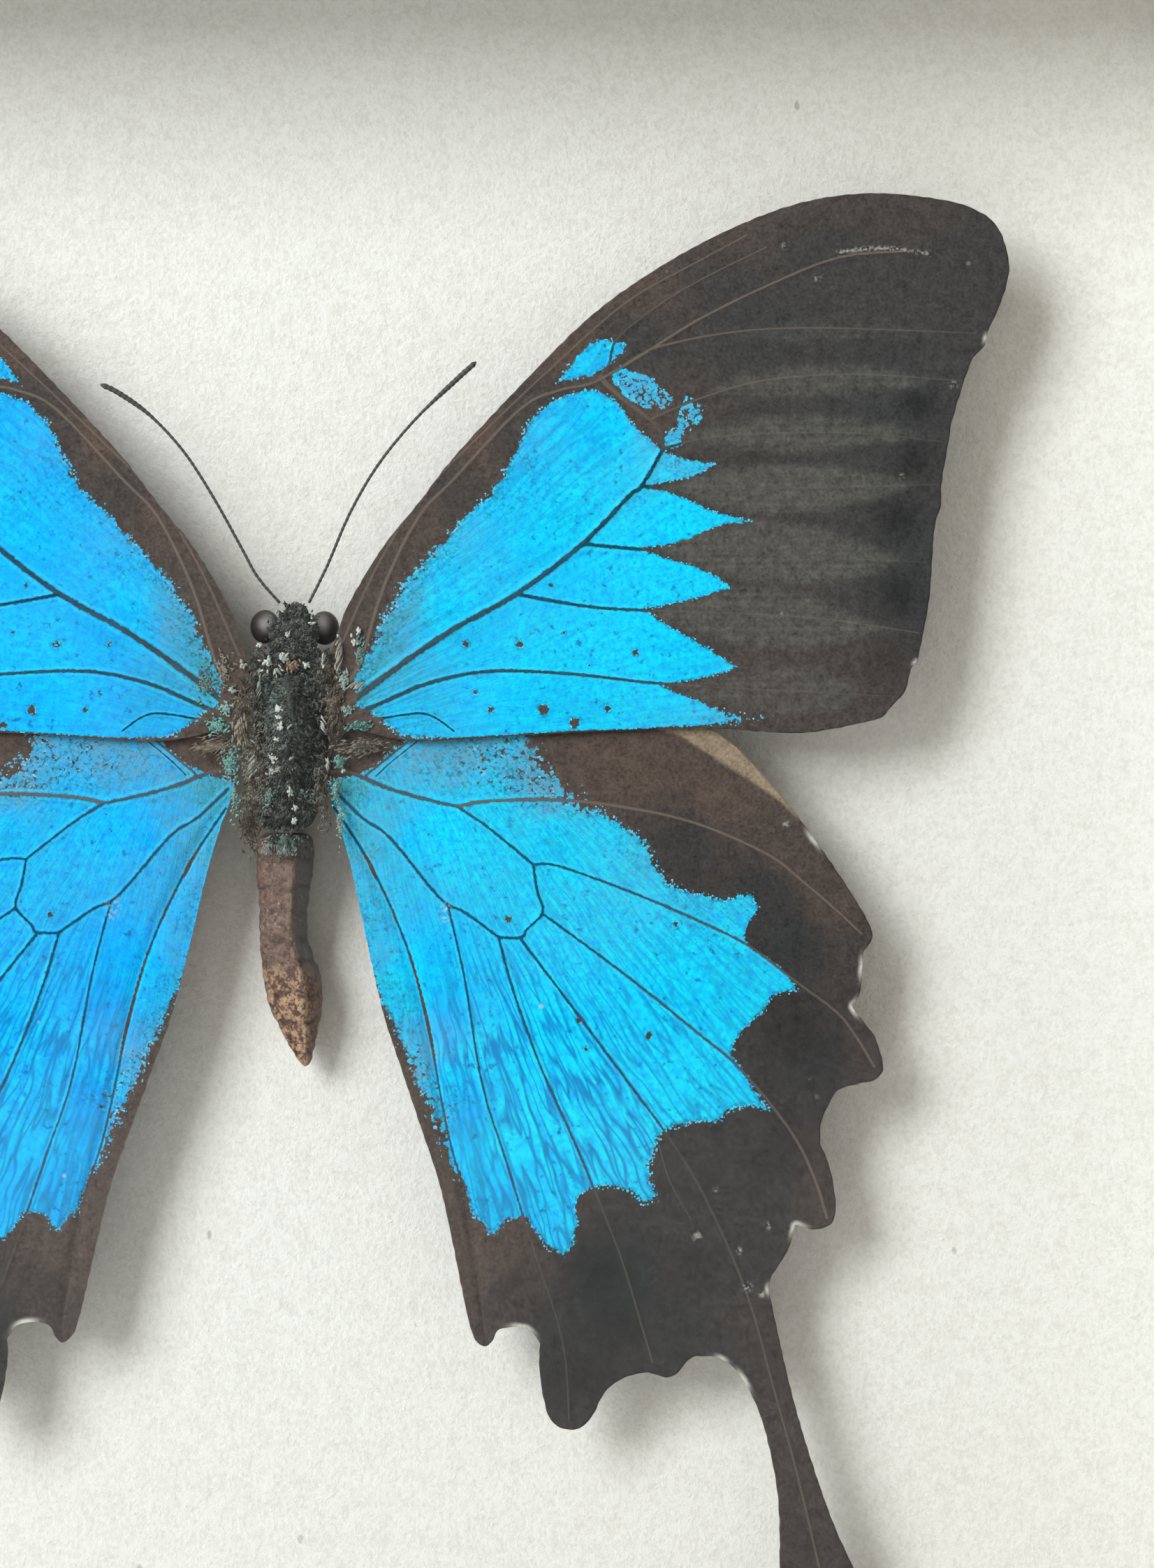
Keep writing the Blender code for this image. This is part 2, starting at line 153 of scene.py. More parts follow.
class Surface:
    """A material under construction, with one Principled shader."""

    def __init__(self, name: str) -> None:
        """Make an empty node material of that name."""
        self.material = bpy.data.materials.new(name)
        self.material.use_nodes = True
        self.tree = self.material.node_tree
        self.tree.nodes.clear()
        self.output = self.tree.nodes.new("ShaderNodeOutputMaterial")
        self.principled = self.tree.nodes.new("ShaderNodeBsdfPrincipled")
        self.tree.links.new(self.principled.outputs[0], self.output.inputs["Surface"])
        self.coordinates = self.tree.nodes.new("ShaderNodeTexCoord").outputs["Object"]

    def node(self, kind: str, settings: dict | None = None, inputs: dict | None = None) -> bpy.types.Node:
        """Add a node.

        Args:
            kind: the node's type.
            settings: properties of the node, set first.
            inputs: a value, Value or socket for each input, by name or number.

        Returns:
            The node.
        """
        made = self.tree.nodes.new(kind)
        for key, setting in (settings or {}).items():
            setattr(made, key, setting)
        for key, given in (inputs or {}).items():
            self._feed(made.inputs[key], given)
        return made

    def _feed(self, socket: bpy.types.NodeSocket,
              given: "Value | bpy.types.NodeSocket | Colour | float") -> None:
        """Link a socket, or give it a fixed value."""
        if isinstance(given, Value):
            self.tree.links.new(given.socket, socket)
        elif isinstance(given, bpy.types.NodeSocket):
            self.tree.links.new(given, socket)
        elif isinstance(given, tuple) and socket.type == "RGBA":
            socket.default_value = (*given, 1.0)
        else:
            socket.default_value = given

    def attribute(self, name: str) -> Value:
        """A number stored on the mesh's points."""
        return Value(self, self.node("ShaderNodeAttribute", {"attribute_name": name}).outputs["Fac"])

    def mapped(self, scale: Colour, turn: Colour = (0.0, 0.0, 0.0)) -> bpy.types.NodeSocket:
        """Object coordinates, turned and then stretched by scale."""
        made = self.node("ShaderNodeMapping", {"vector_type": "POINT"},
                         {"Vector": self.coordinates, "Scale": scale, "Rotation": turn})
        return made.outputs[0]

    def noise(self, grain_mm: float, detail: float = 2.0, roughness: float = 0.5,
              vector: bpy.types.NodeSocket | None = None) -> Value:
        """Noise between 0 and 1 whose lumps are about grain_mm across."""
        made = self.node("ShaderNodeTexNoise", None, {
            "Vector": vector or self.coordinates, "Scale": 1.0 / (grain_mm * MM),
            "Detail": detail, "Roughness": roughness})
        return Value(self, made.outputs["Fac"])

    def cells(self, size_mm: float, vector: bpy.types.NodeSocket | None = None) -> tuple[Value, Value]:
        """Scattered cells: the distance from each one's middle, and its own random number."""
        made = self.node("ShaderNodeTexVoronoi", {"feature": "F1"},
                         {"Vector": vector or self.coordinates, "Scale": 1.0 / (size_mm * MM)})
        split = self.node("ShaderNodeSeparateColor", None, {0: made.outputs["Color"]})
        return Value(self, made.outputs["Distance"]), Value(self, split.outputs[0])

    def mix(self, share: Value | float, first: "Colour | bpy.types.NodeSocket",
            second: "Colour | bpy.types.NodeSocket") -> bpy.types.NodeSocket:
        """Blend two colours.

        Args:
            share: how much of the second.
            first: a colour or a colour socket.
            second: the same.

        Returns:
            The colour socket.
        """
        made = self.node("ShaderNodeMix", {"data_type": "RGBA"},
                         {"Factor": share, 6: first, 7: second})
        return made.outputs[2]

    def brighten(self, colour: bpy.types.NodeSocket, gain: Value) -> bpy.types.NodeSocket:
        """A colour times a number that varies over the surface."""
        made = self.node("ShaderNodeVectorMath", {"operation": "SCALE"}, {0: colour, "Scale": gain})
        return made.outputs[0]

    def bump(self, height: Value, depth_mm: float, strength: float = 1.0) -> None:
        """Feed the shader's normal from a height between 0 and 1 that is depth_mm deep."""
        made = self.node("ShaderNodeBump", None, {
            "Height": height, "Distance": depth_mm * MM, "Strength": strength})
        self.tree.links.new(made.outputs[0], self.principled.inputs["Normal"])

    def set(self, **inputs: "Value | bpy.types.NodeSocket | Colour | float") -> bpy.types.Material:
        """Set the Principled shader's inputs, named with _ for each space, and return the material."""
        for name, given in inputs.items():
            self._feed(self.principled.inputs[name.replace("_", " ")], given)
        return self.material


def dress(piece: bpy.types.Object, material: bpy.types.Material) -> None:
    """Give a piece one material in place of any that it has."""
    piece.data.materials.clear()
    piece.data.materials.append(material)


# ---- Finishes of the frame and its pack ----


class Grain(Enum):
    """The way that a rail's wood grain runs."""

    ACROSS = "across"
    UPRIGHT = "upright"


@dataclass(frozen=True)
class OakFinish:
    """Pale oiled oak with fine open pores."""

    light: Colour = (0.52, 0.36, 0.21)
    dark: Colour = (0.30, 0.185, 0.095)
    pore: Colour = (0.15, 0.085, 0.045)
    fibre_stretch: float = 0.06
    pore_stretch: float = 0.03

    @staticmethod
    def _stretch(grain: Grain, along: float) -> Colour:
        """The scale that draws a pattern out along the grain."""
        return (along, 1.0, 1.0) if grain is Grain.ACROSS else (1.0, 1.0, along)

    def material(self, name: str, grain: Grain) -> bpy.types.Material:
        """The wood with its grain along the rail."""
        surface = Surface(name)
        vector = surface.mapped(self._stretch(grain, self.fibre_stretch))
        figure = surface.noise(3.0, 4.0, 0.6, vector)
        fibre = surface.noise(0.45, 3.0, 0.7, vector)
        distance, chance = surface.cells(0.5, surface.mapped(self._stretch(grain, self.pore_stretch)))
        pores = chance.rise(0.72, 0.8) * distance.rise(0.4, 0.2)
        rings = ((figure * 24.0).maths("SINE") * 0.5 + 0.5) * 0.55 + fibre * 0.45
        colour = surface.mix(rings.rise(0.2, 0.85), self.dark, self.light)
        colour = surface.mix(pores * 0.6, colour, self.pore)
        colour = surface.brighten(colour, surface.noise(28.0, 2.0) * 0.35 + 0.83)
        surface.bump(fibre * 0.5 - pores * 0.5 + 0.5, 0.05, 0.6)
        return surface.set(Base_Color=colour, Roughness=0.62 - fibre * 0.2)


@dataclass(frozen=True)
class CardFinish:
    """Cream rough-surfaced watercolour card with a few stray fibres."""

    paper: Colour = (0.845, 0.828, 0.795)
    shade: Colour = (0.735, 0.710, 0.668)
    speck: Colour = (0.20, 0.17, 0.14)

    def material(self, name: str) -> bpy.types.Material:
        """The card's surface: soft hollows, fine tooth and specks."""
        surface = Surface(name)
        hollows = surface.noise(1.5, 4.0, 0.6)
        tooth = surface.noise(0.36, 3.0, 0.7)
        cloud = surface.noise(16.0, 3.0, 0.6)
        distance, chance = surface.cells(3.6, surface.mapped((1.0, 1.0, 0.6), (0.0, 0.7, 0.0)))
        wander = surface.noise(0.5, 2.0)
        specks = chance.rise(0.86, 0.9) * (distance + wander * 0.07).rise(0.115, 0.07)
        tone = hollows * 0.30 + tooth * 0.62 + cloud * 0.08
        colour = surface.mix(tone.rise(0.34, 0.60), self.shade, self.paper)
        colour = surface.mix(specks * 0.45, colour, self.speck)
        surface.bump(hollows * 0.45 + tooth * 0.55, 0.20, 1.0)
        return surface.set(Base_Color=colour, Roughness=0.93, Specular_IOR_Level=0.12)


@dataclass(frozen=True)
class GlassFinish:
    """Clear low-glare picture glass: see-through with a faint reflection."""

    tint: Colour = (0.985, 0.995, 0.99)
    index: float = 1.22

    def material(self, name: str) -> bpy.types.Material:
        """Transparent glass mixed with a mirror by Fresnel, with a few faint smears."""
        surface = Surface(name)
        surface.tree.nodes.remove(surface.principled)
        clear = surface.node("ShaderNodeBsdfTransparent", None, {0: self.tint})
        mirror = surface.node("ShaderNodeBsdfGlossy", None, {"Color": (1.0, 1.0, 1.0), "Roughness": 0.02})
        fresnel = surface.node("ShaderNodeFresnel", None, {"IOR": self.index})
        made = surface.node("ShaderNodeMixShader", None,
                            {0: fresnel.outputs[0], 1: clear.outputs[0], 2: mirror.outputs[0]})
        surface.tree.links.new(made.outputs[0], surface.output.inputs["Surface"])
        return surface.material


@dataclass(frozen=True)
class BoardFinish:
    """Brown hardboard, its smooth face out."""

    light: Colour = (0.27, 0.165, 0.09)
    dark: Colour = (0.16, 0.09, 0.05)

    def material(self, name: str) -> bpy.types.Material:
        """Pressed fibres in two browns."""
        surface = Surface(name)
        fibres = surface.noise(0.6, 4.0, 0.75, surface.mapped((1.0, 1.0, 0.3), (0.0, 0.5, 0.0)))
        cloud = surface.noise(12.0, 3.0)
        colour = surface.mix((fibres * 0.6 + cloud * 0.4).rise(0.35, 0.65), self.dark, self.light)
        surface.bump(fibres, 0.05, 0.5)
        return surface.set(Base_Color=colour, Roughness=0.55 + fibres * 0.25)


@dataclass(frozen=True)
class SteelFinish:
    """Thin plated steel, lightly scuffed."""

    bright: Colour = (0.66, 0.65, 0.62)
    dull: Colour = (0.44, 0.42, 0.39)

    def material(self, name: str) -> bpy.types.Material:
        """Plated metal with cloudy dull spots and scuffs."""
        surface = Surface(name)
        cloud = surface.noise(1.6, 4.0, 0.65)
        scuff = surface.noise(0.35, 2.0, 0.6, surface.mapped((1.0, 1.0, 0.15), (0.0, 0.9, 0.0)))
        colour = surface.mix(cloud.rise(0.4, 0.62), self.dull, self.bright)
        surface.bump(scuff, 0.02, 0.4)
        return surface.set(Base_Color=colour, Metallic=1.0, Roughness=0.25 + cloud * 0.3)


# ---- Finishes of the insect ----


@dataclass(frozen=True)
class WingFinish:
    """Wing scales: electric blue fields on black, with grey-brown bands, veins and worn spots.

    The patterns' soft masks and distances are stored on the wing's points, and the scale-sized
    cells here turn them into ragged edges of single scales.
    """

    black: Colour = (0.046, 0.047, 0.0475)
    soot: Colour = (0.024, 0.025, 0.026)
    brown: Colour = (0.100, 0.072, 0.060)
    band: Colour = (0.103, 0.099, 0.089)
    tan: Colour = (0.29, 0.22, 0.155)
    rib: Colour = (0.165, 0.130, 0.108)
    bright: Colour = (0.0, 0.740, 1.0)
    deep: Colour = (0.0, 0.350, 0.930)
    pale: Colour = (0.045, 0.62, 0.90)
    frost: Colour = (0.33, 0.66, 0.82)
    teal: Colour = (0.045, 0.29, 0.30)
    greyed: Colour = (0.120, 0.33, 0.52)
    # painted shade: the deeper blue laid into the creases of the fine pleats
    crease_shade_blue: Colour = (0.0, 0.230, 0.60)
    shadowed: Colour = (0.0, 0.095, 0.215)
    ink: Colour = (0.005, 0.032, 0.050)
    fringe: Colour = (0.72, 0.69, 0.63)
    stroke: float = 1.3
    scale_mm: float = 0.17

    def material(self, name: str) -> bpy.types.Material:
        """The wing's surface."""
        surface = Surface(name)
        wander = surface.noise(0.9, 3.0, 0.6)
        fine = surface.noise(0.26, 2.0, 0.6)
        drift = surface.noise(5.0, 2.0)
        height, scale = surface.cells(self.scale_mm)
        flake = surface.cells(self.scale_mm * 2.3)[1]
        grain = self._grain(surface, 0.60)
        cover = self._cover(surface, wander, height, scale, flake)
        ground = self._ground(surface, wander, fine, drift, scale)
        blue = self._blue(surface, cover, wander, fine, scale, flake, height, grain)
        on = cover.rise(-0.05, 0.05)
        colour = surface.mix(on, ground, blue)
        vein = surface.attribute("vein") + (fine - 0.5) * 1.1 + (wander - 0.5) * 0.9
        rib_share = surface.attribute("rib")
        glint = vein.rise(1.2, 1.7) * vein.rise(2.9, 2.0) * on * (0.15 + flake * 0.35)
        colour = surface.mix(glint, colour, self.pale)
        inked = vein.rise(self.stroke, self.stroke * 0.5) * on * (0.75 + wander * 0.4)
        colour = surface.mix(inked.clamped(), colour, self.ink)
        core = vein.rise(0.95, 0.45)
        colour = surface.mix(core * rib_share * (0.5 + wander * 0.5), colour, self.rib)
        edge = surface.attribute("fringe") * (fine + scale * 0.5).rise(0.25, 0.55)
        colour = surface.mix(edge * 0.85, colour, self.fringe)
        colour = surface.mix(self._lost(surface, scale, wander), colour, self.fringe)
        surface.bump(height.rise(0.75, 0.1) * 0.35 + fine * 0.3 + grain * on * 0.35, 0.05, 0.6)
        return surface.set(Base_Color=colour, Roughness=0.80 - on * 0.15, Specular_IOR_Level=0.03)

    @staticmethod
    def _grain(surface: Surface, pitch_mm: float) -> Value:
        """Wavering pleats that run along the wing's rays: 0 in a crease, 1 between them."""
        bend = surface.noise(4.0, 1.5) - 0.5
        across = (surface.attribute("across") + bend * 0.8) * MM
        along = surface.attribute("along") * (0.11 * MM)
        vector = surface.node("ShaderNodeCombineXYZ", None, {0: across, 1: along}).outputs[0]
        waves = surface.noise(pitch_mm, 1.0, 0.45, vector)
        return ((waves - 0.5).maths("ABSOLUTE") * 12.0).clamped()

    @staticmethod
    def _cover(surface: Surface, wander: Value, height: Value, scale: Value, flake: Value) -> Value:
        """How surely a scale is blue: over 0 where it is."""
        reach = (surface.attribute("blue") / surface.attribute("fray")).least(0.9)
        worn = surface.attribute("nick") * (wander.rise(0.32, 0.55) + 0.25)
        gaps = height.rise(0.35, 0.7) * (0.75 - reach).clamped() * 0.8
        border, chance = surface.cells(0.36)
        sparse = surface.attribute("sparse") * (0.1 + chance + border.rise(0.40, 0.66) * 0.8)
        loose = (wander - 0.5) * 0.42 - scale * 0.55 - flake * 0.15
        return reach + 0.42 + loose - gaps - worn * 1.3 - sparse

    def _ground(self, surface: Surface, wander: Value, fine: Value, drift: Value,
                scale: Value) -> bpy.types.NodeSocket:
        """The black wing with its brown parts and grey bands."""
        streak = surface.attribute("streak")
        brown = surface.attribute("brown") * (0.7 + drift * 0.6)
        colour = surface.mix(surface.attribute("sooty"), self.black, self.soot)
        colour = surface.mix(brown.clamped(), colour, self.brown)
        band = surface.attribute("band") * (0.45 + streak * 0.55 + (wander - 0.5) * 0.8)
        colour = surface.mix(band.clamped(), colour, self.band)
        colour = surface.mix(surface.attribute("tan"), colour, self.tan)
        return surface.brighten(colour, 0.26 + fine * 1.10 + scale * 0.22 + (wander - 0.5) * 0.9)

    def _blue(self, surface: Surface, cover: Value, wander: Value, fine: Value, scale: Value,
              flake: Value, height: Value, grain: Value) -> bpy.types.NodeSocket:
        """The blue scales: painted shade in folds, painted light on pleat crests, paler at ragged edges,
        greyed and teal near the root.
        """
        fold = surface.attribute("fold")
        pleat = surface.attribute("pleat")
        mottle = surface.noise(0.48, 3.0, 0.65)
        # painted light: the fold term brightens the blue on the pleats' crests and dims it in their troughs
        glow = (0.70 + (mottle - 0.5) * 2.2 + (fine - 0.5) * 0.9 + (scale - 0.5) * 0.30
                + (fold - 0.5) * 0.5 + (wander - 0.5) * 0.5)
        colour = surface.mix(glow.clamped(), self.deep, self.bright)
        crease = pleat * (1.0 - grain)
        # painted shade: the blue is deepened beside the folds and veins, where the dim field is high
        colour = surface.mix((surface.attribute("dim") * 0.7).clamped(), colour, self.deep)
        # painted shade: the creases of the fine pleats are painted a deeper blue
        colour = surface.mix((crease * (0.85 + wander * 0.5)).clamped(), colour, self.crease_shade_blue)
        gap = flake.rise(0.80, 0.95) * mottle.rise(0.46, 0.38) * 0.6 + height.rise(0.55, 0.85) * 0.16
        colour = surface.mix(gap.clamped(), colour, self.shadowed)
        faded = (surface.attribute("faded") * (0.5 + flake * 0.7 + (wander - 0.5))).clamped()
        colour = surface.mix(faded, colour, self.greyed)
        rooty = (surface.attribute("rooty") * (0.1 + scale * 0.8 + (1.0 - grain) * 0.5)).clamped()
        colour = surface.mix(rooty, colour, self.teal)
        rim = cover.rise(0.42, 0.0) * (0.05 + flake * 0.65)
        colour = surface.mix(rim * (1.0 - rooty * 0.6), colour, self.pale)
        frosted = cover.rise(0.40, 0.05) * scale.rise(0.25, 0.10) * 0.8
        colour = surface.mix(frosted, colour, self.frost)
        shade = cover.rise(0.7, 0.1) * scale.rise(0.35, 0.75) * 0.55
        return surface.mix(shade, colour, self.shadowed)

    @staticmethod
    def _lost(surface: Surface, scale: Value, wander: Value) -> Value:
        """Small pale places where scales have come off."""
        rare = surface.cells(1.9)
        spots = rare[1].rise(0.965, 0.97) * rare[0].rise(0.13, 0.05)
        worn = surface.attribute("bare") * (scale * 0.6 + wander * 0.8).rise(0.66, 0.84)
        return (spots * 0.35).most(worn * 0.5)


@dataclass(frozen=True)
class FurFinish:
    """Skin or hair coloured by a tone stored on its points: 0 dark, 1 pale, with teal and white."""

    dark: Colour = (0.016, 0.020, 0.018)
    mid: Colour = (0.165, 0.170, 0.150)
    teal: Colour = (0.10, 0.50, 0.44)
    white: Colour = (0.78, 0.80, 0.72)
    ochre: Colour = (0.42, 0.27, 0.17)

    def material(self, name: str) -> bpy.types.Material:
        """Hair in mixed colours, its clumps brightened partly as painted highlights."""
        surface = Surface(name)
        clump_tone_and_sheen = surface.noise(0.55, 2.0)
        # clump noise varies the tone at random and brightens patches as painted highlights on glossy clumps
        tone = surface.attribute("tone") ** 1.3 * (0.2 + clump_tone_and_sheen.rise(0.42, 0.60) * 1.2)
        colour = surface.mix(tone.clamped(), self.dark, self.mid)
        colour = surface.mix(surface.attribute("teal"), colour, self.teal)
        colour = surface.mix(surface.attribute("ochre"), colour, self.ochre)
        colour = surface.mix(surface.attribute("white"), colour, self.white)
        return surface.set(Base_Color=colour, Roughness=0.55 + clump_tone_and_sheen * 0.2, Specular_IOR_Level=0.35)


@dataclass(frozen=True)
class SkinFinish:
    """The thorax and head under their hair: black-green scales with white sparkles."""

    dark: Colour = (0.013, 0.017, 0.016)
    green: Colour = (0.045, 0.062, 0.053)
    sparkle: Colour = (0.75, 0.76, 0.72)

    def material(self, name: str) -> bpy.types.Material:
        """Mottled scales with scattered bright ones."""
        surface = Surface(name)
        mottle = surface.noise(0.6, 4.0, 0.7)
        distance, chance = surface.cells(0.16)
        sparkle = chance.rise(0.965, 0.97) * distance.rise(0.6, 0.3) * surface.noise(1.6).rise(0.42, 0.6)
        colour = surface.mix(mottle.rise(0.35, 0.7), self.dark, self.green)
        colour = surface.mix(sparkle, colour, self.sparkle)
        surface.bump(mottle * 0.6 + distance * 0.4, 0.12, 0.8)
        return surface.set(Base_Color=colour, Roughness=0.5 + mottle * 0.3)


@dataclass(frozen=True)
class AbdomenFinish:
    """Dry brown abdomen: greyed scales over brown skin, golden and worn towards its end."""

    scales: Colour = (0.225, 0.146, 0.112)
    skin: Colour = (0.092, 0.048, 0.036)
    fleck: Colour = (0.42, 0.33, 0.26)
    gold: Colour = (0.47, 0.29, 0.165)
    rust: Colour = (0.085, 0.030, 0.020)
    # painted shade laid down the abdomen's right side
    grey: Colour = (0.140, 0.133, 0.130)
    crease: Colour = (0.022, 0.014, 0.011)

    def material(self, name: str) -> bpy.types.Material:
        """Brown skin with flecks, a greyer painted shade down its right side and a few creases."""
        surface = Surface(name)
        mottle = surface.noise(0.85, 4.0, 0.72)
        wrinkle = surface.noise(0.30, 3.0, 0.7)
        distance, chance = surface.cells(0.30)
        worn = surface.attribute("worn")
        colour = surface.mix((mottle * 0.5 + wrinkle * 0.5).rise(0.38, 0.62), self.skin, self.scales)
        # painted shade: the right side of the ridge, turned from the lamp, is greyed and darkened
        side = surface.attribute("shade") * (0.6 + mottle * 0.6)
        colour = surface.mix(side.clamped(), colour, self.grey)
        colour = surface.mix(worn * mottle.rise(0.56, 0.40) * 0.9, colour, self.rust)
        colour = surface.mix(worn * wrinkle.rise(0.36, 0.52) * mottle.rise(0.45, 0.56), colour, self.gold)
        flecks = chance.rise(0.86, 0.90) * distance.rise(0.5, 0.3) * mottle.rise(0.42, 0.56)
        colour = surface.mix(flecks * 0.6, colour, self.fleck)
        colour = surface.mix(surface.attribute("crease") * 0.55, colour, self.crease)
        colour = surface.mix(wrinkle.rise(0.40, 0.28) * 0.75, colour, self.crease)
        surface.bump(wrinkle * 0.6 + mottle * 0.4, 0.22, 1.0)
        return surface.set(Base_Color=colour, Roughness=0.48 + wrinkle * 0.3)


@dataclass(frozen=True)
class EyeFinish:
    """Dark compound eye: fine facets, a soft gloss and a greyish painted sheen."""

    dark: Colour = (0.022, 0.017, 0.016)
    eye_sheen: Colour = (0.30, 0.285, 0.29)

    def material(self, name: str) -> bpy.types.Material:
        """Facets over a dark ball, with a painted grey sheen where it faces forward."""
        surface = Surface(name)
        facets = surface.cells(0.07)[0]
        cloud = surface.noise(0.8, 2.0)
        # painted highlight: a soft grey sheen beside the middle of the eye
        grey = surface.attribute("eye_sheen") * (0.5 + cloud * 0.7)
        colour = surface.mix(grey.clamped(), self.dark, self.eye_sheen)
        surface.bump(facets.rise(0.7, 0.1), 0.012, 0.6)
        return surface.set(Base_Color=colour, Roughness=0.5 + cloud * 0.12)


@dataclass(frozen=True)
class AntennaFinish:
    """Near-black antenna skin with paler joints."""

    skin: Colour = (0.028, 0.026, 0.024)
    joint: Colour = (0.11, 0.10, 0.09)

    def material(self, name: str) -> bpy.types.Material:
        """Ringed dark skin."""
        surface = Surface(name)
        ring = surface.attribute("ring")
        dust = surface.noise(0.35, 3.0, 0.7)
        colour = surface.mix(ring * (0.25 + dust * 0.6), self.skin, self.joint)
        surface.bump(dust, 0.02, 0.5)
        return surface.set(Base_Color=colour, Roughness=0.5 + dust * 0.25)


# ---- Flat geometry of lines and fields, in millimetres ----


def flowing(points: Sequence[Sequence[float]], steps: int = 4) -> np.ndarray:
    """A Catmull-Rom curve through points.

    Args:
        points: the points that it passes through.
        steps: pieces between two neighbouring points.

    Returns:
        The curve's points, one to a row.
    """
    knots = np.array([points[0], *points, points[-1]], float)
    share = np.linspace(0.0, 1.0, steps, endpoint=False)[:, None]
    rows = []
    for before, start, end, after in zip(knots, knots[1:], knots[2:], knots[3:]):
        rows.append((2 * start + share * (end - before)
                     + share**2 * (2 * before - 5 * start + 4 * end - after)
                     + share**3 * (3 * start - before - 3 * end + after)) / 2)
    return np.vstack([*rows, knots[-1:]])


def spaced(line: np.ndarray, step: float) -> np.ndarray:
    """A line's points redone at an even spacing."""
    lengths = np.concatenate([[0.0], np.cumsum(np.linalg.norm(np.diff(line, axis=0), axis=1))])
    count = max(2, round(lengths[-1] / step) + 1)
    wanted = np.linspace(0.0, lengths[-1], count)
    return np.column_stack([np.interp(wanted, lengths, line[:, axis]) for axis in (0, 1)])


class Near:
    """Quick distances to a set of lines."""

    def __init__(self, lines: Sequence[np.ndarray], step: float = 0.05) -> None:
        """Sample the lines finely.

        Args:
            lines: each line's points.
            step: spacing of the samples.
        """
        samples = [spaced(line, step) for line in lines]
        self.line = np.repeat(np.arange(len(samples)), [len(line) for line in samples])
        self.along = np.concatenate([np.linspace(0.0, 1.0, len(line)) for line in samples])
        self.tree = KDTree(len(self.line))
        for number, (x, z) in enumerate(np.vstack(samples).tolist()):
            self.tree.insert((x, z, 0.0), number)
        self.tree.balance()

    def find(self, points: np.ndarray) -> tuple[np.ndarray, np.ndarray, np.ndarray]:
        """Each point's distance to the nearest line, that line's number, and the share along it."""
        found = [self.tree.find((x, z, 0.0))[1:] for x, z in points.tolist()]
        numbers = np.array([number for number, _ in found])
        return np.array([away for _, away in found]), self.line[numbers], self.along[numbers]


def within(points: np.ndarray, ring: np.ndarray) -> np.ndarray:
    """True for the points inside a closed ring."""
    result = np.zeros(len(points), bool)
    for (x0, z0), (x1, z1) in zip(ring, np.roll(ring, -1, axis=0)):
        spans = (z0 > points[:, 1]) != (z1 > points[:, 1])
        crossing = x0 + (points[:, 1] - z0) * (x1 - x0) / ((z1 - z0) or 1e-12)
        result ^= spans & (points[:, 0] < crossing)
    return result


def depth_in(points: np.ndarray, ring: np.ndarray) -> np.ndarray:
    """Distance to a closed ring's edge, above 0 inside it."""
    away = Near([np.vstack([ring, ring[:1]])]).find(points)[0]
    return np.where(within(points, ring), away, -away)


def soft(values: np.ndarray, low: float, high: float) -> np.ndarray:
    """A smooth step from 0 at low to 1 at high; low may be the larger."""
    share = np.clip((values - low) / (high - low), 0.0, 1.0)
    return share * share * (3.0 - 2.0 * share)


def ripple(across: np.ndarray, along: np.ndarray, seed: int, waves: int = 6) -> np.ndarray:
    """Wandering ripples between about -1 and 1.

    Args:
        across: the coordinate that they alternate along, one period per unit.
        along: the coordinate that they wander along.
        seed: picks the pattern.
        waves: how many sine waves are mixed.

    Returns:
        The height at each point.
    """
    dice = np.random.default_rng(seed)
    total = np.zeros_like(across)
    for _ in range(waves):
        pitch = dice.uniform(0.6, 1.5)
        drift = dice.uniform(-0.35, 0.35)
        phase = dice.uniform(0.0, 2 * math.pi, 2)
        total += np.sin(2 * math.pi * (pitch * across + drift * along) + phase[0]
                        + 0.9 * np.sin(2 * math.pi * 0.4 * along + phase[1]))
    return np.clip(total / (waves * 0.55), -1.0, 1.0)


@dataclass(frozen=True)
class Anchors:
    """A field given by its values at a few places, blended by nearness."""

    places: tuple[tuple[float, float, float], ...]
    sharpness: float = 3.6

    def at(self, points: np.ndarray) -> np.ndarray:
        """The field's value at each point."""
        weights = np.zeros(len(points))
        total = np.zeros(len(points))
        for x, z, value in self.places:
            weight = 1.0 / (np.hypot(points[:, 0] - x, points[:, 1] - z) + 0.15) ** self.sharpness
            weights += weight
            total += weight * value
        return total / weights


@dataclass(frozen=True)
class Spots:
    """Round marks, each a place and a radius."""

    places: tuple[tuple[float, float, float], ...]

    def at(self, points: np.ndarray) -> np.ndarray:
        """How strongly each point is marked, 0 to 1."""
        marked = np.zeros(len(points))
        for x, z, radius in self.places:
            away = np.hypot(points[:, 0] - x, points[:, 1] - z)
            marked = np.maximum(marked, np.exp(-((away / radius) ** 2)))
        return marked


@dataclass(frozen=True)
class Vein:
    """A wing vein: its course, half widths at both ends, and how brown it is at both ends."""

    course: Line
    width: tuple[float, float] = (0.11, 0.08)
    rib: tuple[float, float] = (0.0, 0.0)
    height: float = 0.05


# ---- The pattern and relief of each wing, drawn for the right side ----


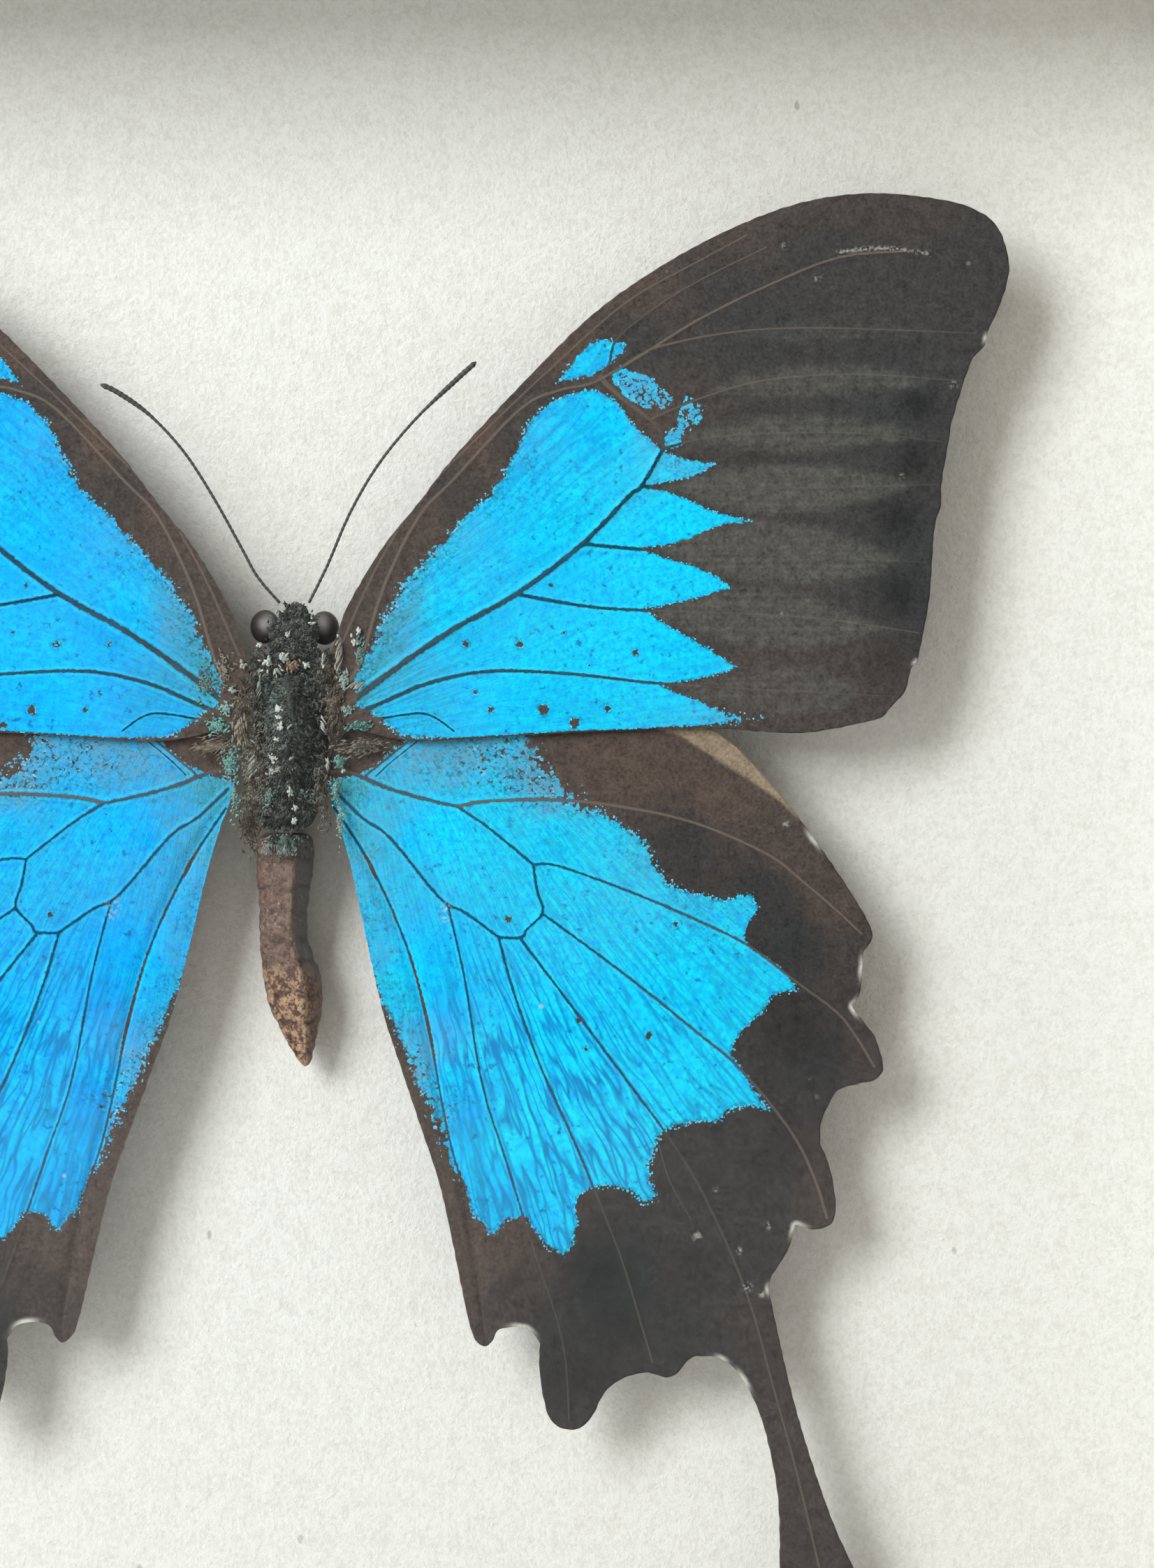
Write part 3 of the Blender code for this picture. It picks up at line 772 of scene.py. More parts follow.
@dataclass(frozen=True)
class Pattern:
    """What a wing carries, as short drawn lines around the insect's own origin."""

    veins: tuple[Vein, ...]
    blue_fields: tuple[Line, ...]
    bands: tuple[tuple[Line, float], ...]
    tan_field: Line
    fray: Anchors
    faded: Anchors
    rooty: Anchors
    sparse: Anchors
    brown: Anchors
    sooty: Spots
    # where the finish paints shade beside folds and veins
    dim: Anchors
    nicks: Spots
    bare: Spots
    notches: Spots
    fold_centre: Point
    fold_pitch: float
    fold_reach: float
    fold_zone: Anchors

    def fields(self, points: np.ndarray, edge: np.ndarray) -> Fields:
        """The masks and distances that the wing's finish reads.

        Args:
            points: places on the wing.
            edge: each one's distance from the wing's edge.

        Returns:
            One array per attribute.
        """
        ratio, rib = self.vein_ratio(points)[:2]
        blue = np.full(len(points), -99.0)
        for ring in self.blue_fields:
            blue = np.maximum(blue, depth_in(points, np.array(ring)))
        band = np.zeros(len(points))
        for ring, strength in self.bands:
            band = np.maximum(band, strength * soft(depth_in(points, np.array(ring)), -0.35, 0.75))
        tan = soft(depth_in(points, np.array(self.tan_field)), -0.12, 0.2) if self.tan_field else 0 * band
        # the pleats' height, which the finish paints lighter on their crests as painted light
        fold = self.folds(points)
        away = points - self.fold_centre
        along = np.hypot(away[:, 0], away[:, 1])
        across = np.arctan2(away[:, 1], away[:, 0]) * self.fold_reach
        return {
            "vein": np.minimum(ratio, FAR),
            "rib": rib,
            "blue": np.clip(blue, -FAR, FAR),
            "fray": self.fray.at(points),
            "faded": self.faded.at(points),
            "rooty": self.rooty.at(points),
            "sparse": self.sparse.at(points),
            "brown": self.brown.at(points),
            "sooty": self.sooty.at(points),
            "dim": self.dim.at(points),
            "band": band,
            "tan": tan,
            "nick": self.nicks.at(points),
            "bare": self.bare.at(points),
            "fringe": self.notches.at(points) * soft(edge, 0.42, 0.12),
            "streak": 0.5 + 0.5 * ripple(points[:, 1] * 1.6, points[:, 0] * 0.05, 11, 8),
            "fold": 0.5 + 0.5 * fold,
            "pleat": self.fold_zone.at(points),
            "across": across,
            "along": along,
        }

    def folds(self, points: np.ndarray) -> np.ndarray:
        """Fine pleats that fan out over the membrane, -1 to 1, stronger in the fold zone."""
        x = points[:, 0] - self.fold_centre[0]
        z = points[:, 1] - self.fold_centre[1]
        angle = np.degrees(np.arctan2(z, x)) / self.fold_pitch
        reach = np.hypot(x, z) * 0.11
        return ripple(angle, reach, 5, 7) * self.fold_zone.at(points)

    def vein_ratio(self, points: np.ndarray) -> tuple[np.ndarray, np.ndarray, np.ndarray]:
        """Distance from the nearest vein in its half widths, how brown it is, and its height."""
        away, number, along = Near([flowing(vein.course) for vein in self.veins]).find(points)
        table = np.array([(*vein.width, *vein.rib, vein.height) for vein in self.veins])[number]
        width = VEIN_WIDTH * (table[:, 0] + (table[:, 1] - table[:, 0]) * along)
        return away / width, table[:, 2] + (table[:, 3] - table[:, 2]) * along, table[:, 4]

    def relief(self, points: np.ndarray, edge: np.ndarray) -> np.ndarray:
        """Height of the wing's face towards the glass: raised veins, pleats and a slow swell."""
        ratio, _, height = self.vein_ratio(points)
        ridge = height * np.exp(-((ratio / np.where(height < 0, 3.0, 1.5)) ** 2))
        ditch = np.abs(height) * 0.5 * np.exp(-(((ratio - 4.0) / 3.0) ** 2))
        firm = soft(edge, 0.0, RIM_REACH)
        return self.swell(points) + (ridge - ditch) * firm + 0.05 * self.folds(points) * firm

    def swell(self, points: np.ndarray) -> np.ndarray:
        """The slow part of the relief, which the wing's underside follows."""
        return 0.12 * np.sin(points[:, 0] / 8.0 + points[:, 1] / 13.0)


FORE_PATTERN = Pattern(
    veins=(
        Vein(((4.2, 1.6), (7.6, 4.2), (12.4, 7.5), (17.1, 10.1), (22.1, 13.9), (25.6, 17.5), (26.6, 18.3),
              (28.2, 21.1)), (0.22, 0.15), (0.45, 0), 0.10),
        Vein(((28.2, 21.1), (27.9, 22.6), (26.6, 23.8), (25, 25), (23.7, 26.2)), (0.16, 0.22),
             (0.2, 0.8)),
        Vein(((4.6, 3.6), (5.5, 5.4), (7.1, 10.6), (9.7, 15.9), (12.4, 18.8), (17.4, 24.1), (20.3, 25.5),
              (22.9, 26.1), (26.3, 28), (30.8, 30.8), (36.1, 33.4), (41.4, 35.5), (46.6, 36)),
             (0.15, 0.10), (1, 1), 0.07),
        Vein(((25.5, 27.6), (27.9, 28.8), (33.5, 29.9), (40, 30.2), (51.8, 29.8)), (0.10, 0.07),
             (0.9, 0.4)),
        Vein(((3.6, 5.5), (6.5, 12), (10, 17.6), (15, 22.7), (20.3, 27.7), (25.6, 32.3), (30.8, 35.2),
              (34.5, 37.2)), (0.12, 0.08), (0.8, 0.8), 0.06),
        Vein(((22.9, 26.1), (24.1, 27.4), (24.9, 29.6), (29.5, 33), (36, 36.3)), (0.10, 0.06),
             (0.2, 0.9)),
        Vein(((27.2, 23.3), (31, 24.9), (36.1, 26.3), (43, 26.7), (50.4, 26.2)), (0.09, 0.06),
             (0.8, 0.4)),
        Vein(((28.2, 21.1), (32, 22), (38.7, 22.3), (44, 22.2), (49.3, 21.6)), (0.10, 0.06), (0.3, 0.3)),
        Vein(((26.7, 18.3), (29.5, 18), (36, 18.1), (42, 18.2), (48.8, 18.4)), (0.14, 0.06), (0, 0.3)),
        Vein(((22.2, 13.9), (26.6, 13.5), (30, 13.3), (38, 13), (48.2, 12.5)), (0.14, 0.06), (0, 0.2)),
        Vein(((17.2, 10.1), (22.4, 9.2), (26.9, 8.9), (33, 8.7), (40, 8.3), (47.5, 7.2)), (0.13, 0.06),
             (0, 0.6)),
        Vein(((4.6, 0.9), (7.6, 2.2), (10.5, 3.4), (15, 4.3), (21.3, 4.1), (27.7, 3.4), (36, 2.9),
              (45.8, 2.4)), (0.15, 0.06), (0.2, 0.3)),
        Vein(((5.2, 0.4), (9.2, 1.1), (10.8, 0.9), (12.4, -0.2)), (0.09, 0.07)),
    ),
    blue_fields=(
        ((4.6, 3.6), (5.9, 6.4), (6.9, 9), (8.2, 10.8), (9.7, 12.7), (11.9, 14.8), (14, 17.2), (15, 18),
         (16.3, 20.1), (17.4, 22.2), (18, 23.3), (19.8, 24.9), (21.3, 25.5), (22.9, 25.8), (24, 25.4),
         (25, 24.6), (25.8, 23.3), (27.1, 22), (28.1, 21.2), (30, 20.4), (32.4, 20), (31.4, 19.3),
         (30, 18.8), (27.1, 18.2), (28.7, 17.9), (30.3, 17.2), (31.9, 16.4), (35.3, 15.6), (32.9, 15.4),
         (31.6, 15), (30.3, 14.3), (28.7, 13.8), (26.6, 13.5), (29.2, 12.7), (30.8, 12.2), (32.4, 11.4),
         (33.5, 10.5), (32.4, 10.3), (30.8, 9.8), (28.7, 9.3), (26.8, 9), (28.7, 7.7), (30.3, 6.9),
         (31.9, 5.9), (34, 4.6), (32.9, 4.2), (31.4, 3.8), (29.8, 3.5), (27.9, 3.3), (29.8, 2.5),
         (31.9, 1.7), (37.2, 0.7), (33.5, 0.2), (30.8, 0.12), (20.3, -0.27), (12.4, -0.76), (9.7, -0.86),
         (8.3, -0.7), (7.4, 0), (6.2, 0.9), (4.8, 1.6)),
        ((20, 25.8), (20.3, 26.7), (21.3, 27.8), (22.4, 29), (23.6, 29.5), (25.6, 29.3), (25.5, 28.6),
         (24.8, 27.8), (24, 27.2), (22.9, 26.5), (21.6, 26.2)),
        ((24.1, 26.8), (25, 27.4), (26.3, 27.1), (27.6, 26.4), (28.6, 25.5), (29.3, 24.6), (28.6, 24.1),
         (27.3, 23.9), (26.3, 24.1), (25.2, 24.9), (24.4, 25.9)),
        ((28, 21.4), (28.2, 22.4), (29, 23), (29.2, 24.1), (29.8, 25.2), (30.8, 25), (31.6, 24.1),
         (30.9, 22.9), (30, 22.3), (29.6, 21.3), (28.6, 20.7)),
    ),
    bands=(
        (((30.8, 29.5), (38, 30.8), (46, 30.8), (49.5, 30), (46, 29.3), (38, 29)), 0.35),
        (((31.4, 25.3), (34, 27), (38.7, 27.6), (44, 27.6), (49.3, 26.5), (46.6, 25.5), (41.4, 25),
          (36.1, 24.9)), 0.8),
        (((28.7, 21.9), (31.4, 23), (36.1, 23.7), (41.4, 23.8), (45.6, 23), (48.2, 22), (44, 21.2),
          (38.7, 20.6), (33.5, 20.9)), 0.85),
        (((28.2, 18.2), (30.8, 19.3), (36.1, 20), (41.4, 19.9), (44.5, 19.3), (47.2, 18.4), (45.1, 17.4),
          (41.4, 16.4), (36.1, 16), (32.4, 16.5)), 1),
        (((27.4, 13.4), (30.8, 15.4), (35, 15.9), (39.3, 15.4), (43, 14.3), (46.4, 12.7), (43.5, 11.2),
          (39.3, 10.7), (35, 10.9), (30.8, 11.9)), 1),
        (((26.6, 8.5), (30.3, 10.1), (35, 10.9), (39.3, 10.1), (43, 8.5), (45.6, 7.4), (43, 6.7),
          (39.3, 5.9), (35, 5.9), (30.8, 6.9)), 0.95),
        (((27.1, 3.2), (30.8, 3.8), (36.1, 4.8), (40.3, 4.6), (43.5, 2.8), (41.4, 1.1), (37.2, 0.9),
          (31.9, 1.8)), 0.7),
    ),
    tan_field=(),
    fray=Anchors((
        (33, 16, 0.3), (33, 11, 0.3), (33, 5, 0.4), (30.5, 20, 0.3), (17, 22, 0.8), (12, 15, 0.8),
        (9, 11, 0.9), (22, 25.8, 0.5), (6, 3, 0.8), (35, 0.9, 1.2), (37, 0.6, 1.4), (31, 1, 0.3),
        (15, -0.7, 0.16), (20, -0.3, 0.16), (26, 0, 0.16), (26.3, 25.5, 0.32), (29.8, 23.3, 0.35),
        (22.5, 28, 0.35), (25, 28.5, 0.4), (27.5, 21.8, 0.5), (20.5, 26.5, 0.6), (14, 18.5, 0.9),
        (8, 6, 1), (10.5, 10, 1.2), (5, 4.5, 0.6))),
    faded=Anchors((
        (7.5, 8.5, 0.7), (11, 14, 0.4), (16, 21, 0.3), (23, 28, 0.1), (27, 25, 0.6), (29.5, 23, 0.6),
        (12, 8, 0), (20, 15, 0), (30, 6, 0), (20, 2, 0), (35, 0.8, 0.5), (6, 5, 0.5), (30, 15, 0),
        (24, 23, 0), (17, 18, 0.05), (12, 12, 0.1), (9, 1, 0.1))),
    rooty=Anchors((
        (5.8, 5, 1), (5.4, 1.5, 1), (7.5, 7, 0.75), (8.6, 10.2, 0.55), (10, 6.5, 0.25), (7.6, 3, 0.55),
        (9, 1.5, 0.3), (12, 10, 0), (15, 3, 0), (25, 10, 0), (20, 22, 0), (11, 14, 0.2), (16, 12, 0))),
    sparse=Anchors((
        (26, 25.6, 0.72), (27.9, 24.9, 0.80), (29.5, 23.3, 0.88), (30.5, 24.2, 0.95), (22.3, 27.6, 0.25),
        (24.8, 28.5, 0.5), (20.5, 26.4, 0.45), (28.6, 21.5, 0.45), (27, 21, 0), (24, 23, 0),
        (20, 23, 0.05), (16.5, 20.5, 0.35), (14.5, 18.2, 0.45), (11.8, 14.3, 0.45), (9.5, 11.8, 0.5),
        (8, 9.5, 0.5), (6.5, 6.5, 0.5), (5, 3.5, 0.45), (9.5, 9, 0.25), (7, 1.5, 0.2), (9, 5, 0.1),
        (14, 14, 0.1), (11, 10, 0.1), (18, 12, 0), (25, 8, 0), (15, 3, 0), (35, 1, 0.5), (31, 16, 0),
        (31, 5, 0))),
    brown=Anchors((
        (5, 9, 0.7), (9.5, 16.3, 0.8), (14.5, 22.2, 1), (20, 28, 0.95), (26, 33, 0.8), (33, 37, 0.6),
        (40, 39.5, 0.45), (48, 39.6, 0.3), (12.3, 17.6, 0.35), (16.5, 22, 0.3), (20, 25.2, 0.3),
        (26.5, 29.5, 0.15), (25.5, 24.2, 0.6), (33, 34, 0.15), (40, 36, 0.1), (50, 35, 0.1), (45, 25, 0),
        (48, 12, 0), (30, 17, 0.15), (30, 11.3, 0.2), (30, 8, 0.2), (36, 3, 0.5), (42, 1, 0.4),
        (35, 30, 0.05), (4, 2, 0.9))),
    sooty=Spots((
        (46, 15.8, 1.9), (46, 10, 1.9), (45, 4.8, 1.9), (47, 20.2, 1.6), (35, 21, 0.9), (47.5, 24.3, 1.4))),
    dim=Anchors((
        (15, 7.6, 0.5), (20, 10.8, 0.4), (12, 9.5, 0), (22, 16, 0), (10, 2.6, 0.5), (18, 6, 0),
        (24, 6.5, 0), (20, 2, 0.25), (14, 14, 0.3), (18, 20, 0.35), (22, 23, 0.4), (26, 20.5, 0),
        (30, 16, 0), (30, 11, 0), (30, 6, 0.1), (7.5, 6.5, 0.6))),
    nicks=Spots((
        (13.3, 6.4, 0.30), (17.4, 6.3, 0.36), (19.7, 10.8, 0.22), (20.7, 7.2, 0.2), (26.1, 5.7, 0.36),
        (14, 2.7, 0.28), (19.2, 1.4, 0.5), (21.5, 0.4, 0.5), (22.6, 4.8, 0.2), (15.2, 1.4, 0.3),
        (24, 1.5, 0.32), (28.6, 5.6, 0.2))),
    bare=Spots((*((41.4 + 0.22 * step, 35.9 + 0.3 * math.sin(step / 9), 0.13) for step in range(34)),
                (37.4, 36.4, 0.2), (39.8, 34, 0.22), (50.1, 25.9, 0.22), (46.2, 19, 0.15), (37, 8.6, 0.18))),
    notches=Spots(((52.6, 29.4, 0.35), (47.3, 4.9, 0.3))),
    fold_centre=(-6, -3),
    fold_pitch=1.6,
    fold_reach=30,
    fold_zone=Anchors((
        (15, 15, 0.3), (20, 20, 0.4), (20, 8, 0.15), (28, 15, 0.15), (15, 3, 0.25), (28, 6, 0.2),
        (40, 20, 0.45), (45, 10, 0.4), (40, 35, 0.4), (7, 4, 0.4))),
)

HIND_PATTERN = Pattern(
    veins=(
        Vein(((3, -3.3), (4.5, -3.3), (7.1, -4.4), (9.7, -5.2), (12.6, -5.9)), (0.18, 0.14), (0.6, 0.5),
             0.07),
        Vein(((12.6, -5.9), (15, -5.5), (20.3, -5.4), (25.6, -6), (30.8, -7.2), (36.1, -9.5),
              (38.7, -11.5), (41.4, -13.8), (43.2, -15.5)), (0.15, 0.10), (1, 1), 0.07),
        Vein(((12.8, -6), (15, -7.5), (18.4, -10.3)), (0.12, 0.11), (0.2, 0)),
        Vein(((18.4, -10.3), (20.3, -10.4), (25.6, -12.3), (30.8, -14.5), (34.8, -16.5), (38.2, -19.1),
              (41.4, -21.5), (43, -23.6), (44.2, -25.6)), (0.11, 0.12), (0, 0.95)),
        Vein(((18.4, -10.4), (18.7, -12.3), (19.1, -13.9), (17.9, -15.2), (17.5, -15.8), (15.8, -15.8)),
             (0.12, 0.12)),
        Vein(((19.1, -14), (25.6, -18.8), (30.8, -23), (34, -25.7), (37.7, -30.2), (39.5, -33.6),
              (40.6, -37)), (0.11, 0.13), (0, 0.95)),
        Vein(((17.5, -16), (21.3, -21), (25.6, -26.8), (28.7, -31), (31.4, -35.5), (34.5, -42.6),
              (36.6, -50), (38.5, -57), (40.6, -66)), (0.12, 0.10), (0, 0.8)),
        Vein(((27.9, -31.5), (28.7, -34.2), (30.3, -37.1)), (0.06, 0.05), (0.7, 0.5), 0.03),
        Vein(((5.4, -3.8), (6.9, -2.6), (8.8, -1.1)), (0.10, 0.09), (0.6, 0.6), 0.03),
        Vein(((6.5, -3.6), (7.7, -2.5), (9.6, -1)), (0.07, 0.06), (0.2, 0.2), 0.03),
        Vein(((15.8, -15.9), (16.9, -19.9), (19, -25.7), (21.6, -31.5), (24.8, -39.4), (26.6, -45.2),
              (27.4, -47.9)), (0.12, 0.09), (0, 0.5)),
        Vein(((3.3, -4.6), (5.5, -6.8), (7.6, -8.3), (11.3, -12.8), (13.2, -13.9), (15.8, -15.8)),
             (0.13, 0.12), (0.2, 0)),
        Vein(((11.9, -13.3), (13.2, -18.9), (14.5, -26.8), (16.3, -32.6), (18.4, -39.4), (20.6, -46.3),
              (21.1, -52.3)), (0.10, 0.08), (0, 0.4)),
        Vein(((3.3, -5.9), (6.1, -10.4), (8.7, -16.2), (10.3, -22), (11.9, -30.5), (13.4, -36.3),
              (14.8, -45.8)), (0.11, 0.07), (0, 0.3), -0.24),
    ),
    blue_fields=(
        ((2.6, -3.9), (5, -3.3), (6.4, -2.6), (8.4, -0.9), (10, 0.8), (18.2, 0.8), (19.2, -2),
         (21.9, -4.4), (22.9, -5.7), (25.6, -7.3), (27.1, -8.3), (27.9, -10.2), (28.7, -11.5),
         (30.8, -12.3), (32.9, -12.8), (35, -12.3), (35.6, -13.6), (34.8, -14.7), (34.4, -15.7),
         (34.8, -16.5), (36.6, -17.6), (37.7, -18.6), (38.6, -19.8), (36.6, -20.2), (35.8, -21.5),
         (34.5, -22.6), (33.7, -23.6), (33.4, -24.6), (34.3, -25.7), (35, -26.8), (36.6, -29.3),
         (35, -28.6), (33.5, -28.9), (32.4, -29.9), (30.8, -29.9), (29.5, -30.2), (28.2, -30.7),
         (27.9, -31.5), (27.4, -32.8), (27.4, -34.2), (27.9, -35), (27.7, -35.7), (26.6, -36),
         (25.8, -35.2), (24.5, -34.7), (22.7, -34.8), (21.9, -35.2), (21.6, -36.3), (21.8, -37.3),
         (21.6, -38.9), (20.8, -40), (20, -39.7), (19, -38.9), (17.8, -37.1), (17.4, -37.1),
         (16.3, -37.3), (15.8, -38.4), (15, -38.5), (14.5, -37.6), (13.7, -37.1), (13.2, -35.7),
         (12.6, -34.2), (12, -33.2), (11, -31.4), (9.4, -27.4), (7.9, -23.5), (6.2, -19.5), (4.8, -14),
         (3.2, -8), (2.3, -5)),
    ),
    bands=(),
    tan_field=((26, 2.2), (29, 1.4), (32.6, 0), (36.8, -4.2), (39.2, -7.4), (38.2, -6.6),
               (36.6, -5.2), (35, -4.1), (32.9, -2.8), (31.4, -1.8), (29.5, -0.6), (26, 0.6)),
    fray=Anchors((
        (21.5, -4.3, 1.5), (19.2, -1.5, 1.5), (8, -1.6, 0.7), (12, -4.6, 1.2), (17.5, -4.4, 1.6),
        (26, -7.5, 1), (28, -11, 0.8), (32.5, -12.5, 0.6), (36, -17.5, 0.3), (38, -20, 0.5),
        (34, -23, 0.5), (36, -28.7, 0.7), (31, -30, 0.8), (27.5, -33.5, 0.9), (25, -35, 0.7),
        (22, -36, 0.35), (21, -39.5, 0.7), (18, -37.7, 0.6), (15, -38, 0.8), (13, -35.5, 0.9),
        (11.2, -30.5, 1.2), (9, -25, 0.9), (6.4, -15.5, 0.8), (4.2, -8, 0.7), (11.5, -25, 0.8),
        (9.5, -17, 0.8), (4, -4, 0.5), (34.5, -16, 0.3))),
    faded=Anchors((
        (5, -2.5, 0.8), (12, -2, 0.9), (20, -4.2, 1), (12, -7.5, 0.02), (20, -8.5, 0), (6.6, -17, 0.3),
        (9.4, -26, 0.75), (5, -9.5, 0.55), (6.5, -7.5, 0.5), (8.5, -9.5, 0.35), (8.4, -18.5, 0),
        (10, -18, 0), (20, -25, 0), (30, -20, 0), (27, -8.6, 0.4), (31, -29, 0), (28, -33.5, 0.1),
        (18, -34, 0), (13.5, -33, 0), (9, -9, 0), (11.8, -27, 0), (24, -8, 0.15), (15, -6.8, 0.05))),
    rooty=Anchors((
        (4.2, -5.4, 1), (3.4, -3.5, 1), (4.4, -8.4, 0.7), (6.5, -6.5, 0.35), (10, -8, 0), (8, -2.5, 0.15),
        (5, -11.5, 0.3), (20, -20, 0), (7.2, -20, 0.35), (9.8, -28.5, 0.35), (10, -18, 0), (12, -26, 0))),
    sparse=Anchors((
        (19, -3.2, 0.62), (21.5, -4.6, 0.8), (15, -2, 0.55), (10, -2, 0.35), (24, -6.6, 0.15),
        (27, -9, 0.35), (31, -12.6, 0.3), (9, -25.5, 0.55), (10.2, -28.5, 0.65), (11.2, -30.8, 0.75),
        (7.2, -20, 0.4), (5.8, -14, 0.3), (4, -7.5, 0.3), (3.8, -4.2, 0.3), (9.5, -17, 0), (12, -24, 0),
        (13, -31, 0), (20, -8, 0), (20, -20, 0), (20, -32, 0), (30, -22, 0), (25, -12, 0), (13, -8, 0.05),
        (30.5, -29, 0.2), (7, -7, 0.1), (12, -14, 0))),
    brown=Anchors((
        (26, -2, 0.95), (33, -5, 0.9), (38, -9.5, 0.8), (41.5, -13.2, 0.75), (30, -9, 0.2),
        (36, -12.4, 0.1), (38, -16, 0.05), (42.5, -17, 0.3), (40, -25, 0.08), (36, -34, 0.15),
        (33, -41, 0.2), (30, -45, 0.12), (24, -42, 0), (20, -46, 0.1), (16, -43, 0.45), (14, -41, 0.8),
        (12.9, -40, 0.9), (12, -35.5, 0.8), (10, -30.6, 0.8), (8, -25.7, 0.8), (38, -55, 0.5),
        (40, -65, 0.4), (44.2, -24.5, 0.5), (40.8, -35, 0.5), (35, -45, 0.3), (5.8, -16.4, 0.7),
        (20, -1, 0.8), (4, -2, 0.8))),
    sooty=Spots((
        (23.2, -41, 2.8), (24.5, -45, 2.6), (17.5, -41.5, 1.8), (22, -49, 2.4), (30, -41, 2),
        (38, -22.5, 2.6), (37.5, -31.5, 2))),
    dim=Anchors((
        (12.2, -22, 0.9), (13.2, -29, 0.95), (14.5, -35, 0.7), (11, -15, 0.6), (9, -11, 0.45),
        (10.6, -26, 0.3), (8.5, -20, 0.3), (15, -24, 0.15), (16.5, -30, 0.05), (19, -24, 0.2),
        (22, -28, 0.1), (20, -13, 0.15), (13, -9.5, 0.1), (24, -18, 0.15), (26, -13.5, 0.1),
        (31, -18, 0.1), (28, -24, 0.2), (30, -28, 0.1), (24, -9, 0.1))),
    nicks=Spots((
        (21.9, -22, 0.35), (27.1, -23.2, 0.35), (16.5, -14.4, 0.3), (22.4, -24.2, 0.25),
        (29.2, -14.8, 0.25), (32.5, -20.5, 0.25))),
    bare=Spots((
        (11.7, -13.6, 0.4), (11.8, -14.3, 0.3), (30.8, -38.4, 0.28), (34, -39.5, 0.2),
        (34.6, -42.2, 0.28), (35.7, -42.8, 0.2), (36.2, -37.6, 0.2), (39.3, -26.5, 0.12),
        (32.2, -34.9, 0.12), (37.5, -7.2, 0.2))),
    notches=Spots((
        (39.5, -8.4, 0.7), (43.3, -18.1, 0.8), (42.5, -21.2, 0.7), (38.2, -37.6, 0.8), (36.2, -42.4, 0.4),
        (34.2, -49.3, 0.8), (32.6, -47.8, 0.5), (17.6, -45.3, 0.9))),
    fold_centre=(3, 12),
    fold_pitch=1.35,
    fold_reach=42,
    fold_zone=Anchors((
        (15.5, -24, 1), (19, -31, 1), (22, -27, 1), (25, -31, 1), (20, -36, 0.9), (13, -30, 0.6),
        (27, -24, 0.7), (31, -27, 0.6), (12, -9, 0.25), (24, -16, 0.4), (32, -19, 0.4), (30, -13, 0.35),
        (24, -9, 0.3), (35, -35, 0.4), (40, -20, 0.3), (7, -18, 0.2))),
)


# ---- Making meshes ----


def mesh_piece(name: str, points: np.ndarray, faces: Sequence[Sequence[int]]) -> bpy.types.Object:
    """A smooth-shaded mesh object at the origin.

    Args:
        name: the object's name.
        points: its points in millimetres, one to a row.
        faces: each face's point numbers.

    Returns:
        The object.
    """
    mesh = bpy.data.meshes.new(name)
    mesh.from_pydata((points * MM).tolist(), [], faces)
    mesh.validate()
    mesh.polygons.foreach_set("use_smooth", [True] * len(mesh.polygons))
    piece = bpy.data.objects.new(name, mesh)
    bpy.context.scene.collection.objects.link(piece)
    return piece


def store(piece: bpy.types.Object, fields: Fields) -> None:
    """Keep each field as a number on the piece's points."""
    for name, values in fields.items():
        attribute = piece.data.attributes.new(name, "FLOAT", "POINT")
        attribute.data.foreach_set("value", np.asarray(values, np.float32))


def points_of(piece: bpy.types.Object) -> np.ndarray:
    """A piece's points in millimetres."""
    flat = np.empty(len(piece.data.vertices) * 3)
    piece.data.vertices.foreach_get("co", flat)
    return flat.reshape(-1, 3) / MM


def move_points(piece: bpy.types.Object, points: np.ndarray) -> None:
    """Put a piece's points at new places in millimetres."""
    piece.data.vertices.foreach_set("co", (points * MM).ravel())
    piece.data.update()


def front_rim(node: str) -> np.ndarray:
    """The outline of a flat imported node's front face, in order, as (x, z) in millimetres."""
    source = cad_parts[node]
    points = points_of(source)
    front = points[:, 1].min() + 0.01
    names: dict[tuple[float, float], int] = {}
    numbers = [names.setdefault((round(x, 3), round(z, 3)), len(names)) for x, _, z in points]
    sides: dict[tuple[int, int], int] = {}
    for face in source.data.polygons:
        if all(points[corner][1] < front for corner in face.vertices):
            ring = [numbers[corner] for corner in face.vertices]
            for side in zip(ring, ring[1:] + ring[:1]):
                sides[side] = sides.get(side, 0) + 1
    following = {start: end for (start, end) in sides if (end, start) not in sides}
    places = list(names)
    current = next(iter(following))
    chain = []
    while current in following:
        chain.append(places[current])
        current = following.pop(current)
    return np.array(chain)


def hex_grid(ring: np.ndarray, step: float) -> np.ndarray:
    """Points of a triangular grid over a ring's bounds."""
    low, high = ring.min(axis=0), ring.max(axis=0)
    rows = np.arange(low[1], high[1], step * math.sqrt(3) / 2)
    columns = np.arange(low[0], high[0], step)
    x, z = np.meshgrid(columns, rows)
    x = x + (np.arange(len(rows)) % 2)[:, None] * step / 2
    return np.column_stack([x.ravel(), z.ravel()])


